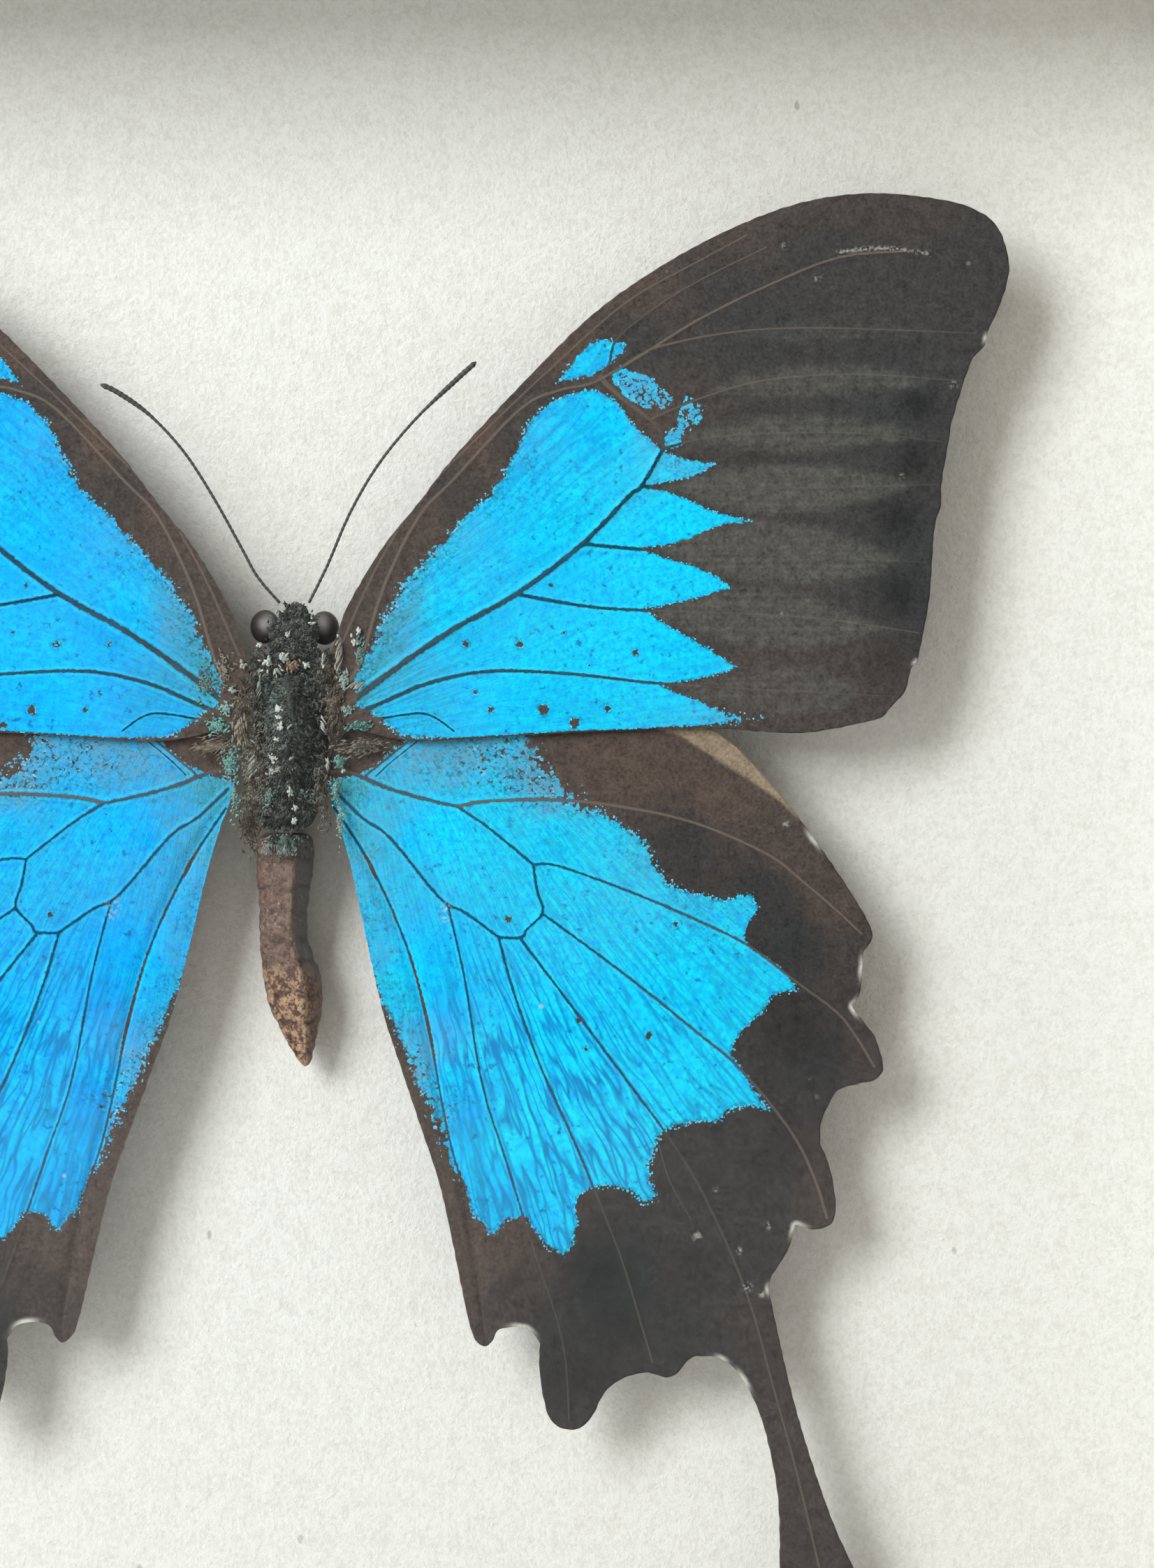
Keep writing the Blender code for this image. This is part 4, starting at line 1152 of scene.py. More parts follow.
def filled(ring: np.ndarray, lines: Sequence[np.ndarray], step: float) -> tuple[np.ndarray, np.ndarray]:
    """Triangles that fill a ring.

    Args:
        ring: the outline's points in order.
        lines: lines inside it that the triangles' sides follow.
        step: spacing of the points between them.

    Returns:
        All points, the ring's first and in its order, and the triangles.
    """
    grid = hex_grid(ring, step)
    keep = depth_in(grid, ring) > step * 0.55
    if len(lines):
        keep &= Near(lines, step).find(grid)[0] > step * 0.6
    points = [ring]
    edges = [(number, (number + 1) % len(ring)) for number in range(len(ring))]
    total = len(ring)
    for line in lines:
        points.append(line)
        edges += [(number, number + 1) for number in range(total, total + len(line) - 1)]
        total += len(line)
    points.append(grid[keep])
    flat = [Vector(place) for place in np.vstack(points)]
    made = delaunay_2d_cdt(flat, edges, [], 1, 1e-6, True)
    places = np.array([tuple(place) for place in made[0]])
    faces = np.array(made[2])
    order = np.full(len(places), -1)
    for number, sources in enumerate(made[3]):
        if sources and min(sources) < len(ring):
            order[number] = min(sources)
    first = np.argsort(np.where(order < 0, len(places), order), kind="stable")
    renumbered = np.empty(len(places), int)
    renumbered[first] = np.arange(len(places))
    places, faces = places[first], renumbered[faces]
    inside = within(places[faces].mean(axis=1), ring)
    return places, faces[inside]


# ---- Wings ----


@dataclass(frozen=True)
class Placement:
    """How a wing pattern lies in the frame: turned about its root, and mirrored on the left."""

    mirror_x: float | None = None
    turn: float = 0.0
    root: Point = (2.8, -4.1)

    def _turned(self, points: np.ndarray, degrees: float) -> np.ndarray:
        """Points turned about the root."""
        angle = math.radians(degrees)
        spin = np.array([[math.cos(angle), math.sin(angle)], [-math.sin(angle), math.cos(angle)]])
        return (points - self.root) @ spin + self.root

    def to_pattern(self, places: np.ndarray) -> np.ndarray:
        """Places in the frame's (x, z), in the pattern's own coordinates."""
        points = places - (0.0, THORAX_Z)
        if self.mirror_x is not None:
            points = np.column_stack([2 * self.mirror_x - points[:, 0], points[:, 1]])
        return self._turned(points, -self.turn)

    def to_frame(self, points: np.ndarray) -> np.ndarray:
        """Pattern places in the frame's (x, z)."""
        places = self._turned(points, self.turn)
        if self.mirror_x is not None:
            places = np.column_stack([2 * self.mirror_x - places[:, 0], places[:, 1]])
        return places + (0.0, THORAX_Z)


@dataclass(frozen=True)
class Wing:
    """One wing: a thin two-sided sheet with raised veins, built from points.

    Tens of thousands of points carry the veins' ridges, the pleats and the pattern's edges, which
    modelling operators can't place.
    """

    node: str
    pattern: Pattern
    placement: Placement
    face_y: float
    grid: float = 0.16
    under_grid: float = 0.8
    rim_step: float = 0.22
    rag: float = 0.05
    thickness: float = 0.26
    rim_thickness: float = 0.06
    under_brown: float = 0.8

    def build(self, finish: WingFinish) -> bpy.types.Object:
        """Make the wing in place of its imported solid.

        Args:
            finish: its colours.

        Returns:
            The wing.
        """
        ring = self._rim()
        veins = [spaced(flowing(vein.course), self.grid) for vein in self.pattern.veins]
        veins = [line for whole in veins for line in self._inside(whole, ring)]
        upper, upper_faces = filled(ring, veins, self.grid)
        under, under_faces = filled(ring, [], self.under_grid)
        upper_depth, under_depth = depth_in(upper, ring), depth_in(under, ring)
        lift = self.pattern.relief(upper, upper_depth)
        drop = self.pattern.swell(under) - self.rim_thickness
        drop -= (self.thickness - self.rim_thickness) * soft(under_depth, 0.0, RIM_REACH)
        points = np.vstack([self._solid(upper, lift), self._solid(under, drop)])
        count, rim = len(upper), len(ring)
        strip = [(a, (a + 1) % rim, count + (a + 1) % rim, count + a) for a in range(rim)]
        faces = [*upper_faces.tolist(), *(under_faces[:, ::-1] + count).tolist(),
                 *[side[::-1] for side in strip]]
        piece = mesh_piece(self.node + "_shown", points, faces)
        fields = self.pattern.fields(upper, upper_depth)
        plain = {name: np.zeros(len(under)) for name in fields}
        plain |= {"blue": np.full(len(under), -FAR), "fray": np.ones(len(under)),
                  "vein": np.full(len(under), FAR), "brown": np.full(len(under), self.under_brown)}
        store(piece, {name: np.concatenate([values, plain[name]]) for name, values in fields.items()})
        dress(piece, finish.material(self.node + "_scales"))
        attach(piece, BODY)
        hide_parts(self.node)
        return piece

    def _rim(self) -> np.ndarray:
        """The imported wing's outline in the pattern's coordinates, finer and slightly ragged."""
        ring = self.placement.to_pattern(front_rim(self.node))
        ring = spaced(np.vstack([ring, ring[:1]]), self.rim_step)[:-1]
        ahead = np.roll(ring, -1, axis=0) - np.roll(ring, 1, axis=0)
        outward = np.column_stack([ahead[:, 1], -ahead[:, 0]])
        outward /= np.linalg.norm(outward, axis=1)[:, None] + 1e-9
        if not within((ring[:1] - outward[:1] * 0.02), ring)[0]:
            outward = -outward
        travel = np.arange(len(ring)) * self.rim_step
        return ring - outward * (self.rag * (0.5 + 0.5 * ripple(travel / 1.1, travel / 9.0, 3)))[:, None]

    def _inside(self, line: np.ndarray, ring: np.ndarray) -> list[np.ndarray]:
        """The parts of a line that are well inside the ring."""
        deep = depth_in(line, ring) > self.grid * 0.9
        starts = [n for n in range(len(line)) if deep[n] and (n == 0 or not deep[n - 1])]
        parts = []
        for start in starts:
            end = start
            while end < len(line) and deep[end]:
                end += 1
            if end - start > 2:
                parts.append(line[start:end])
        return parts

    def _solid(self, flat: np.ndarray, height: np.ndarray) -> np.ndarray:
        """Pattern points at a height above the wing's face, in the frame."""
        places = self.placement.to_frame(flat)
        return np.column_stack([places[:, 0], self.face_y - height, places[:, 1]])


# ---- Head, thorax, abdomen, eyes and antennae ----


def start_mesh(name: str) -> bpy.types.Object:
    """An empty mesh in edit mode, at the origin."""
    bpy.ops.object.select_all(action="DESELECT")
    bpy.ops.mesh.primitive_circle_add(vertices=3, location=(0, 0, 0))
    piece = bpy.context.object
    piece.name = name
    bpy.ops.object.mode_set(mode="EDIT")
    bpy.ops.mesh.select_all(action="SELECT")
    bpy.ops.mesh.delete(type="VERT")
    return piece


def bridged(rings: int, sides: int) -> None:
    """Bridge the open mesh's circles into a tube, close its ends and leave edit mode.

    Args:
        rings: how many circles there are.
        sides: each circle's point count.
    """
    bpy.ops.mesh.select_all(action="SELECT")
    bpy.ops.mesh.bridge_edge_loops()
    mesh = bmesh.from_edit_mesh(bpy.context.object.data)
    mesh.verts.ensure_lookup_table()
    for first in (0, (rings - 1) * sides):
        bpy.ops.mesh.select_all(action="DESELECT")
        for vertex in mesh.verts[first:first + sides]:
            vertex.select = True
        mesh.select_flush(True)
        bpy.ops.mesh.edge_face_add()
        mesh.verts.ensure_lookup_table()
    bpy.ops.mesh.select_all(action="SELECT")
    bpy.ops.mesh.normals_make_consistent(inside=False)
    bpy.ops.object.mode_set(mode="OBJECT")
    bpy.ops.object.shade_smooth()


@dataclass(frozen=True)
class Loft:
    """A body part lofted through round stations.

    Each station is its height above the thorax's middle, the middle's x and y, half its width and
    half its depth.
    """

    node: str
    stations: tuple[tuple[float, float, float, float, float], ...]
    slot: str
    sides: int = 56
    steps: int = 5

    def rows(self) -> np.ndarray:
        """The stations, smoothed."""
        made = flowing(self.stations, self.steps)
        made[:, 3:] = np.maximum(made[:, 3:], 0.06)
        return made

    def model(self) -> bpy.types.Object:
        """Circles at each station, bridged."""
        piece = start_mesh(self.node + "_shown")
        rows = self.rows()
        for z, x, y, half_width, half_depth in rows.tolist():
            place = (x * MM, y * MM, (THORAX_Z + z) * MM)
            bpy.ops.mesh.primitive_circle_add(vertices=self.sides, radius=MM, location=place)
            bpy.ops.transform.resize(value=(half_width, half_depth, 1.0), center_override=place)
        bridged(len(rows), self.sides)
        return piece

    def front(self, x: np.ndarray, z: np.ndarray) -> tuple[np.ndarray, np.ndarray]:
        """The y of the front surface at places, and how far across each is, over 1 when outside."""
        rows = self.rows()[::-1]
        columns = [np.interp(z, rows[:, 0], rows[:, axis]) for axis in (1, 2, 3, 4)]
        across = (x - columns[0]) / columns[2]
        depth = np.sqrt(np.clip(1.0 - across**2, 0.0, 1.0))
        return columns[1] - columns[3] * depth, np.abs(across)

    def finished(self, piece: bpy.types.Object, material: bpy.types.Material) -> bpy.types.Object:
        """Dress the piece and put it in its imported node's place."""
        dress(piece, material)
        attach(piece, BODY)
        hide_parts(self.node)
        return piece


HEAD = Loft("head", (
    (9.6, 0.35, 1.6, 0.0, 0.0), (9.3, 0.35, 1.6, 0.7, 1.1), (8.6, 0.35, 1.6, 1.0, 1.8),
    (7.4, 0.35, 1.6, 1.3, 2.1), (6.2, 0.35, 1.7, 1.5, 2.2), (5.5, 0.3, 1.7, 1.4, 1.6),
    (5.3, 0.25, 1.7, 0.0, 0.0)), "dark_fur")
THORAX = Loft("thorax", (
    (5.0, 0.2, 1.7, 0.0, 0.0), (4.8, 0.2, 1.7, 1.5, 2.0), (3.6, 0.1, 1.7, 2.3, 3.2),
    (1.4, 0.0, 1.7, 2.75, 3.8), (-1.2, 0.0, 1.7, 2.75, 3.9), (-3.8, -0.1, 1.8, 2.5, 3.6),
    (-6.0, -0.2, 2.0, 2.2, 3.0), (-7.4, -0.3, 2.2, 1.6, 2.2), (-7.6, -0.3, 2.2, 0.0, 0.0)), "dark_fur")
ABDOMEN = Loft("abdomen", (
    (-7.9, -0.3, 2.5, 0.0, 0.0), (-8.1, -0.35, 2.5, 1.8, 2.0), (-9.4, -0.35, 2.6, 2.2, 2.6),
    (-11.5, -0.45, 2.7, 2.1, 2.6), (-13.1, -0.5, 2.9, 1.9, 2.4), (-16.0, -0.5, 3.1, 1.85, 2.2),
    (-18.9, 0.1, 3.3, 2.2, 2.2), (-21.3, 0.4, 3.4, 2.0, 2.0), (-23.9, 0.8, 3.5, 1.1, 1.2),
    (-25.5, 1.1, 3.5, 0.4, 0.5), (-25.8, 1.1, 3.5, 0.0, 0.0)), "brown_skin", steps=7)


@dataclass(frozen=True)
class Abdomen:
    """The dried abdomen: pressed to a ridge right of its middle, with creases between its rings."""

    loft: Loft = ABDOMEN
    creases: tuple[float, ...] = (-9.9, -12.1, -13.9, -15.9, -17.8, -20.2, -22.6)
    crease_width: float = 0.18
    crease_depth: float = 0.09
    ridge: float = 0.42
    ridge_rise: float = 0.22

    def build(self, finish: AbdomenFinish) -> bpy.types.Object:
        """Loft it, press its ridge and creases in, and colour it."""
        piece = self.loft.model()
        points = points_of(piece)
        z = points[:, 2] - THORAX_Z
        rows = self.loft.rows()[::-1]
        middle = [np.interp(z, rows[:, 0], rows[:, axis]) for axis in (1, 2, 3, 4)]
        across = (points[:, 0] - middle[0]) / middle[2]
        lift = np.clip((middle[1] - points[:, 1]) / middle[3], 0.0, 1.0)
        wavy = z + 0.18 * np.sin(across * 5.0 + z)
        crease = sum(np.exp(-((wavy - place) / self.crease_width) ** 2) for place in self.creases)
        lumps = ripple(z / 0.9, across * 2.0, 21) * 0.10 + ripple(across * 2.6, z / 1.3, 22) * 0.09
        roof = np.where(across < self.ridge, (across + 1.0) / (self.ridge + 1.0),
                        (1.0 - across) / (1.0 - self.ridge))
        flat = 0.55 + 0.45 * np.clip(roof, 0.0, 1.0)
        shape = 0.35 * lift + 0.65 * flat * soft(lift, 0.0, 0.5)
        depth = middle[3] * np.where(lift > 0, shape + self.ridge_rise * roof.clip(0, 1) ** 3 * lift, 0.0)
        front = points[:, 1] < middle[1]
        points[front, 1] = (middle[1] - depth)[front]
        points[front, 1] += (self.crease_depth * crease - lumps)[front] * soft(lift, 0.0, 0.4)[front]
        points[:, 0] -= across * (0.10 * crease + 0.05 * ripple(z / 1.1, z * 0.0, 24)) + 0.22
        move_points(piece, points)
        # the shade field marks where the finish paints shade down the right side
        store(piece, {"crease": np.clip(crease, 0.0, 1.0) * 0.8,
                      "shade": soft(across, self.ridge - 0.05, self.ridge + 0.25) * soft(z, -20.0, -17.0),
                      "worn": soft(z, -17.0, -20.0) * soft(across, 1.0, 0.3)})
        return self.loft.finished(piece, finish.material("abdomen_skin"))


@dataclass(frozen=True)
class Trunk:
    """The thorax or the head under its scales, with its surface roughened into lumps."""

    loft: Loft
    roughness: float = 0.10

    def build(self, finish: SkinFinish) -> bpy.types.Object:
        """Loft it, roughen it and colour it."""
        piece = self.loft.model()
        points = points_of(piece)
        lumps = ripple(points[:, 0] / 1.1, points[:, 2] / 1.6, 31, 9)
        points[:, 1] -= self.roughness * lumps
        move_points(piece, points)
        return self.loft.finished(piece, finish.material(self.loft.node + "_skin"))


@dataclass(frozen=True)
class Eye:
    """A compound eye."""

    node: str
    middle: Point
    halves: tuple[float, float, float] = (1.12, 1.35, 1.28)
    y: float = 1.2
    eye_sheen: Point = (0.35, -0.15)

    def build(self, finish: EyeFinish) -> bpy.types.Object:
        """A ball pressed to the eye's shape, with its painted grey sheen beside the middle."""
        bpy.ops.object.select_all(action="DESELECT")
        place = (self.middle[0] * MM, self.y * MM, (THORAX_Z + self.middle[1]) * MM)
        bpy.ops.mesh.primitive_uv_sphere_add(segments=48, ring_count=32, radius=MM, location=place)
        piece = bpy.context.object
        piece.name = self.node + "_shown"
        bpy.ops.object.mode_set(mode="EDIT")
        bpy.ops.mesh.select_all(action="SELECT")
        bpy.ops.transform.resize(value=self.halves, center_override=place)
        bpy.ops.object.mode_set(mode="OBJECT")
        bpy.ops.object.transform_apply(location=True, rotation=True, scale=True)
        bpy.ops.object.shade_smooth()
        points = points_of(piece)
        x = (points[:, 0] - self.middle[0]) / self.halves[0] - self.eye_sheen[0]
        z = (points[:, 2] - THORAX_Z - self.middle[1]) / self.halves[2] - self.eye_sheen[1]
        store(piece, {"eye_sheen": soft(np.hypot(x, z), 0.85, 0.05)})
        dress(piece, finish.material(self.node + "_facets"))
        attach(piece, BODY)
        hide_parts(self.node)
        return piece


@dataclass(frozen=True)
class Antenna:
    """A jointed antenna that thickens to a club."""

    node: str
    course: Line
    shaft: float = 0.125
    club: float = 0.225
    joint: float = 0.42
    sides: int = 10
    start_y: float = 0.0
    end_y: float = -1.4

    def build(self, finish: AntennaFinish) -> bpy.types.Object:
        """Circles along its course, three to a joint, bridged."""
        line = spaced(flowing(self.course), self.joint / 4)
        share = np.linspace(0.0, 1.0, len(line))
        wave = np.cos(np.arange(len(line)) * math.pi / 2) * 0.5 + 0.5
        radius = self.shaft + (self.club - self.shaft) * soft(share, 0.74, 0.9)
        radius = radius * (1.0 - 0.20 * wave) * np.sqrt(np.clip((1.0 - share) / 0.012, 0.15, 1.0))
        piece = start_mesh(self.node + "_shown")
        ahead = np.gradient(line, axis=0)
        for (x, z), (dx, dz), along, size in zip(line.tolist(), ahead.tolist(), share, radius):
            y = self.start_y + (self.end_y - self.start_y) * along
            bpy.ops.mesh.primitive_circle_add(
                vertices=self.sides, radius=size * MM, location=(x * MM, y * MM, (THORAX_Z + z) * MM),
                rotation=(0.0, math.atan2(dx, dz), 0.0))
        bridged(len(line), self.sides)
        store(piece, {"ring": np.repeat(wave, self.sides)})
        dress(piece, finish.material(self.node + "_skin"))
        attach(piece, BODY)
        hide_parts(self.node)
        return piece


# ---- Hair and loose scales ----


@dataclass(frozen=True)
class Patch:
    """An oval patch of hairs: its middle, half sizes, the hairs' heading in degrees and their looks."""

    middle: Point
    halves: Point
    count: int
    length: tuple[float, float]
    heading: float
    width: float = 0.045
    stray: float = 35.0
    lift: float = 0.35
    tone: tuple[float, float] = (0.0, 1.0)
    teal: float = 0.0
    ochre: float = 0.0
    white: float = 0.0
    raised: float = 0.0


@dataclass(frozen=True)
class Coat:
    """Hairs and flakes over the body, each a thin tapered spike of nine faces.

    There are thousands, placed over the body's own surface by rule. Where they aren't loose, none
    roots beyond the body's sides. Those near its sides splay outwards.
    """

    name: str
    patches: tuple[Patch, ...]
    bodies: tuple[Loft, ...]
    wing_y: float = -1.25
    seed: int = 7
    loose: bool = True
    lie: float = 1.0
    spread: float = 0.62
    furthest: float = 1.45
    held_to: float = 0.96
    carried_to: float = 0.97
    splay_width: float = 2.6

    def build(self, finish: FurFinish) -> bpy.types.Object:
        """Grow every patch into one mesh.

        Args:
            finish: the hair's colours.

        Returns:
            The coat.
        """
        dice = np.random.default_rng(self.seed)
        grown = [self._grown(patch, dice) for patch in self.patches]
        points = np.vstack([made[0] for made in grown])
        fields = {name: np.concatenate([made[1][name] for made in grown]) for name in grown[0][1]}
        spike = ((0, 1, 4, 3), (1, 2, 5, 4), (2, 0, 3, 5), (3, 4, 6), (4, 5, 6), (5, 3, 6))
        faces = [tuple(base + corner for corner in face)
                 for base in range(0, len(points), SPIKE_POINTS) for face in spike]
        piece = mesh_piece(self.name, points, faces)
        store(piece, fields)
        dress(piece, finish.material(self.name + "_hair"))
        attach(piece, BODY)
        return piece

    def _grown(self, patch: Patch, dice: np.random.Generator) -> tuple[np.ndarray, Fields]:
        """The points and fields of one patch's hairs."""
        count = patch.count
        angle = dice.uniform(0.0, 2 * math.pi, count)
        reach = np.clip(np.abs(dice.normal(0.0, self.spread, count)), 0.0, self.furthest)
        x = patch.middle[0] + patch.halves[0] * reach * np.cos(angle)
        z = patch.middle[1] + patch.halves[1] * reach * np.sin(angle)
        if not self.loose:
            held = np.zeros(count, bool)
            for body in self.bodies:
                heights = body.rows()[:, 0]
                held |= (body.front(x, z)[1] < self.held_to) & (z < heights.max()) & (z > heights.min())
            x, z, count = x[held], z[held], int(held.sum())
        root_y = np.full(count, self.wing_y)
        slope = np.zeros(count)
        for body in self.bodies:
            y, across = body.front(x, z)
            heights = body.rows()[:, 0]
            on = (across < self.carried_to) & (z < heights.max()) & (z > heights.min())
            root_y = np.where(on, np.minimum(root_y, y), root_y)
            signed = (x - np.interp(z, body.rows()[::-1, 0], body.rows()[::-1, 1]))
            slope = np.where(on, np.clip(signed / self.splay_width, -1.0, 1.0), slope)
        heading = np.radians(patch.heading + dice.normal(0.0, patch.stray, count))
        length = dice.uniform(*patch.length, count)
        lift = patch.lift * self.lie * dice.uniform(0.3, 1.3, count)
        ahead = np.column_stack([np.cos(heading), -lift, np.sin(heading)])
        ahead[:, 0] += slope * 0.5
        ahead /= np.linalg.norm(ahead, axis=1)[:, None]
        side = np.cross(ahead, (0.0, 1.0, 0.0))
        side /= np.linalg.norm(side, axis=1)[:, None] + 1e-9
        out = np.cross(side, ahead)
        root = np.column_stack([x, root_y + 0.05 - patch.raised, THORAX_Z + z])
        width = (patch.width * dice.uniform(0.7, 1.3, count))[:, None]
        middle = root + ahead * (length * 0.5)[:, None] + out * (length * 0.06)[:, None]
        tip = root + ahead * length[:, None] - out * (length * 0.05)[:, None]
        around = []
        for centre, scale in ((root, 0.8), (middle, 1.0)):
            for turn in (90.0, 210.0, 330.0):
                bend = math.radians(turn)
                offset = math.cos(bend) * side + 0.5 * math.sin(bend) * out
                around.append(centre + width * scale * offset)
        points = np.stack([*around, tip], axis=1).reshape(-1, 3)
        tone = dice.uniform(*patch.tone, count)
        looks = {"tone": tone, "teal": patch.teal * dice.uniform(0.15, 1.0, count),
                 "ochre": patch.ochre * dice.uniform(0.3, 1.0, count),
                 "white": patch.white * dice.uniform(0.6, 1.0, count)}
        return points, {name: np.repeat(values, SPIKE_POINTS) for name, values in looks.items()}


def flakes(middle: Point, halves: Point, count: int, length: Point, heading: float, width: float,
           stray: float, raised: float = 0.1, **colours: float) -> Patch:
    """A patch of pale flakes.

    Args:
        middle: its middle.
        halves: its half sizes.
        count: how many flakes it has.
        length: the flakes' shortest and longest.
        heading: the way that they point, in degrees.
        width: their half width.
        stray: how far they stray from the heading.
        raised: how far they stand in front of the hair.
        colours: their shares of white, teal and ochre.

    Returns:
        The patch.
    """
    return Patch(middle, halves, count, length, heading, width, stray, tone=(1.0, 1.0), raised=raised,
                 **colours)


DOWN, UP = -90.0, 90.0
FUR = (
    Patch((0, 2.6), (2.6, 2.6), 2300, (0.2, 0.5), DOWN, 0.085, 50),
    Patch((0, -2), (2.8, 4), 2800, (0.2, 0.5), DOWN, 0.085, 50),
    Patch((-0.2, -6.6), (2.2, 2.2), 1300, (0.25, 0.55), DOWN, 0.08, 45),
    Patch((0.35, 7.4), (1.9, 2), 1900, (0.2, 0.42), UP, 0.085, 60, tone=(0, 0.9)),
    Patch((-2.2, -3), (0.6, 4), 420, (0.3, 0.6), DOWN, 0.07, 50, tone=(0.6, 1), ochre=0.22),
    Patch((2.3, -4.2), (0.5, 3.6), 300, (0.3, 0.6), DOWN, 0.07, 50, tone=(0.4, 1), ochre=0.18),
    Patch((-0.4, -8.3), (0.9, 0.7), 260, (0.2, 0.45), DOWN, 0.06, tone=(0.6, 1), teal=0.35, white=0.15),
    Patch((-0.3, -9.1), (0.8, 0.35), 110, (0.2, 0.4), DOWN, 0.06, tone=(0.8, 1), teal=0.30, white=0.35),
    Patch((-1.7, -8.9), (0.5, 0.7), 90, (0.2, 0.45), DOWN, 0.06, tone=(0.8, 1), white=0.30, ochre=0.1),
    Patch((-1, 2.2), (1.4, 1.8), 240, (0.2, 0.4), DOWN, 0.07, 60, tone=(0.8, 1), teal=0.30),
    Patch((0.3, -1), (1.8, 5), 420, (0.2, 0.4), DOWN, 0.07, 60, tone=(0.9, 1), white=0.20),
    Patch((-1.2, -1.5), (1.2, 3.5), 320, (0.2, 0.4), DOWN, 0.07, 60, tone=(0.9, 1), ochre=0.2,
          white=0.12),
    Patch((0.2, 6.8), (1.5, 1.8), 240, (0.2, 0.36), UP, 0.07, 60, tone=(0.9, 1), white=0.16),
    Patch((-1.6, -5.1), (0.5, 1), 170, (0.15, 0.3), DOWN, 0.085, 80, tone=(1, 1), teal=0.8, white=0.35),
    Patch((0.75, -4.8), (0.7, 0.5), 80, (0.15, 0.3), DOWN, 0.08, 80, tone=(1, 1), teal=0.7, white=0.25),
)
TUFTS = (
    Patch((0.25, 5.5), (2.1, 0.65), 1100, (0.2, 0.5), DOWN, 0.08, 70, tone=(0, 0.8)),
    Patch((-1.15, 7), (0.4, 1.2), 260, (0.15, 0.35), UP, 0.08, 60, tone=(0, 0.7)),
    Patch((1.75, 7), (0.45, 1.2), 300, (0.15, 0.35), UP, 0.08, 60, tone=(0, 0.7)),
    Patch((-2.6, 3.6), (0.55, 1.6), 330, (0.25, 0.6), -80, 0.08, 40, tone=(0, 0.9), ochre=0.15),
    Patch((2.6, 3.8), (0.55, 1.5), 330, (0.25, 0.6), -100, 0.08, 40, tone=(0, 0.9), ochre=0.15),
    Patch((-2.9, -3.2), (0.6, 2.8), 460, (0.25, 0.55), DOWN, 0.075, 40, tone=(0.5, 1), ochre=0.30),
    Patch((-3, -7), (0.7, 1.8), 520, (0.25, 0.6), DOWN, 0.075, 35, tone=(0.2, 0.9), ochre=0.25),
    Patch((2.6, -5.2), (0.4, 2.2), 280, (0.25, 0.55), DOWN, 0.07, 35, tone=(0.4, 1), ochre=0.20),
    Patch((-3.6, 1.6), (0.7, 1.6), 260, (0.3, 0.6), -70, 0.075, 45, tone=(0.2, 1), ochre=0.40),
    Patch((3.4, 1.9), (0.6, 1.6), 240, (0.3, 0.6), -110, 0.075, 45, tone=(0.2, 1), ochre=0.30),
    Patch((-5.5, 0.2), (0.85, 0.5), 130, (0.15, 0.34), 200, 0.09, 60, tone=(0.7, 1), teal=0.9, white=0.12),
    Patch((-4.7, 1.5), (0.45, 0.45), 70, (0.15, 0.3), 200, 0.085, 70, tone=(0.7, 1), teal=0.8, white=0.3),
    Patch((-4.4, -2.6), (0.6, 1.2), 170, (0.15, 0.34), 250, 0.09, 60, tone=(0.7, 1), teal=0.9, white=0.15),
    Patch((-4.1, -5.2), (0.35, 1.4), 90, (0.15, 0.34), 260, 0.085, 50, tone=(0.7, 1), teal=0.8, white=0.2),
    Patch((-6.3, 3.4), (0.9, 1.6), 110, (0.15, 0.34), 130, 0.08, 60, tone=(0.7, 1), teal=0.55, ochre=0.3),
    Patch((-4.9, 4.3), (0.7, 1.5), 90, (0.2, 0.4), 120, 0.07, 40, tone=(0.7, 1), teal=0.3, ochre=0.6),
    Patch((4.1, 3.6), (0.4, 0.8), 80, (0.15, 0.34), 60, 0.085, 60, tone=(0.7, 1), teal=0.5, white=0.35),
    Patch((5.3, 5.6), (0.35, 1.5), 80, (0.15, 0.36), 70, 0.08, 30, tone=(0.7, 1), teal=0.6, white=0.1),
    Patch((4.4, 1.4), (0.45, 0.35), 70, (0.15, 0.3), 0, 0.085, 70, tone=(0.7, 1), teal=0.6, white=0.4),
    Patch((5.3, 0.1), (0.9, 0.35), 110, (0.2, 0.42), 15, 0.08, 25, tone=(0.7, 1), teal=0.8, white=0.12),
    Patch((3.8, -2.5), (0.45, 0.45), 80, (0.15, 0.3), -50, 0.09, 70, tone=(0.7, 1), teal=0.9, white=0.1),
    Patch((3.5, -4.6), (0.32, 0.9), 80, (0.15, 0.34), -75, 0.085, 50, tone=(0.7, 1), teal=0.8, white=0.2),
    Patch((3.8, -7), (0.25, 1.6), 90, (0.15, 0.34), -75, 0.08, 40, tone=(0.7, 1), teal=0.65, white=0.35),
    Patch((-5.6, -1.3), (1.6, 0.6), 170, (0.3, 0.7), 200, 0.06, 20, tone=(0.5, 1), ochre=0.45),
    Patch((5.4, -1.5), (1.7, 0.6), 190, (0.3, 0.7), 15, 0.06, 15, tone=(0.5, 1), ochre=0.42, white=0.1),
)
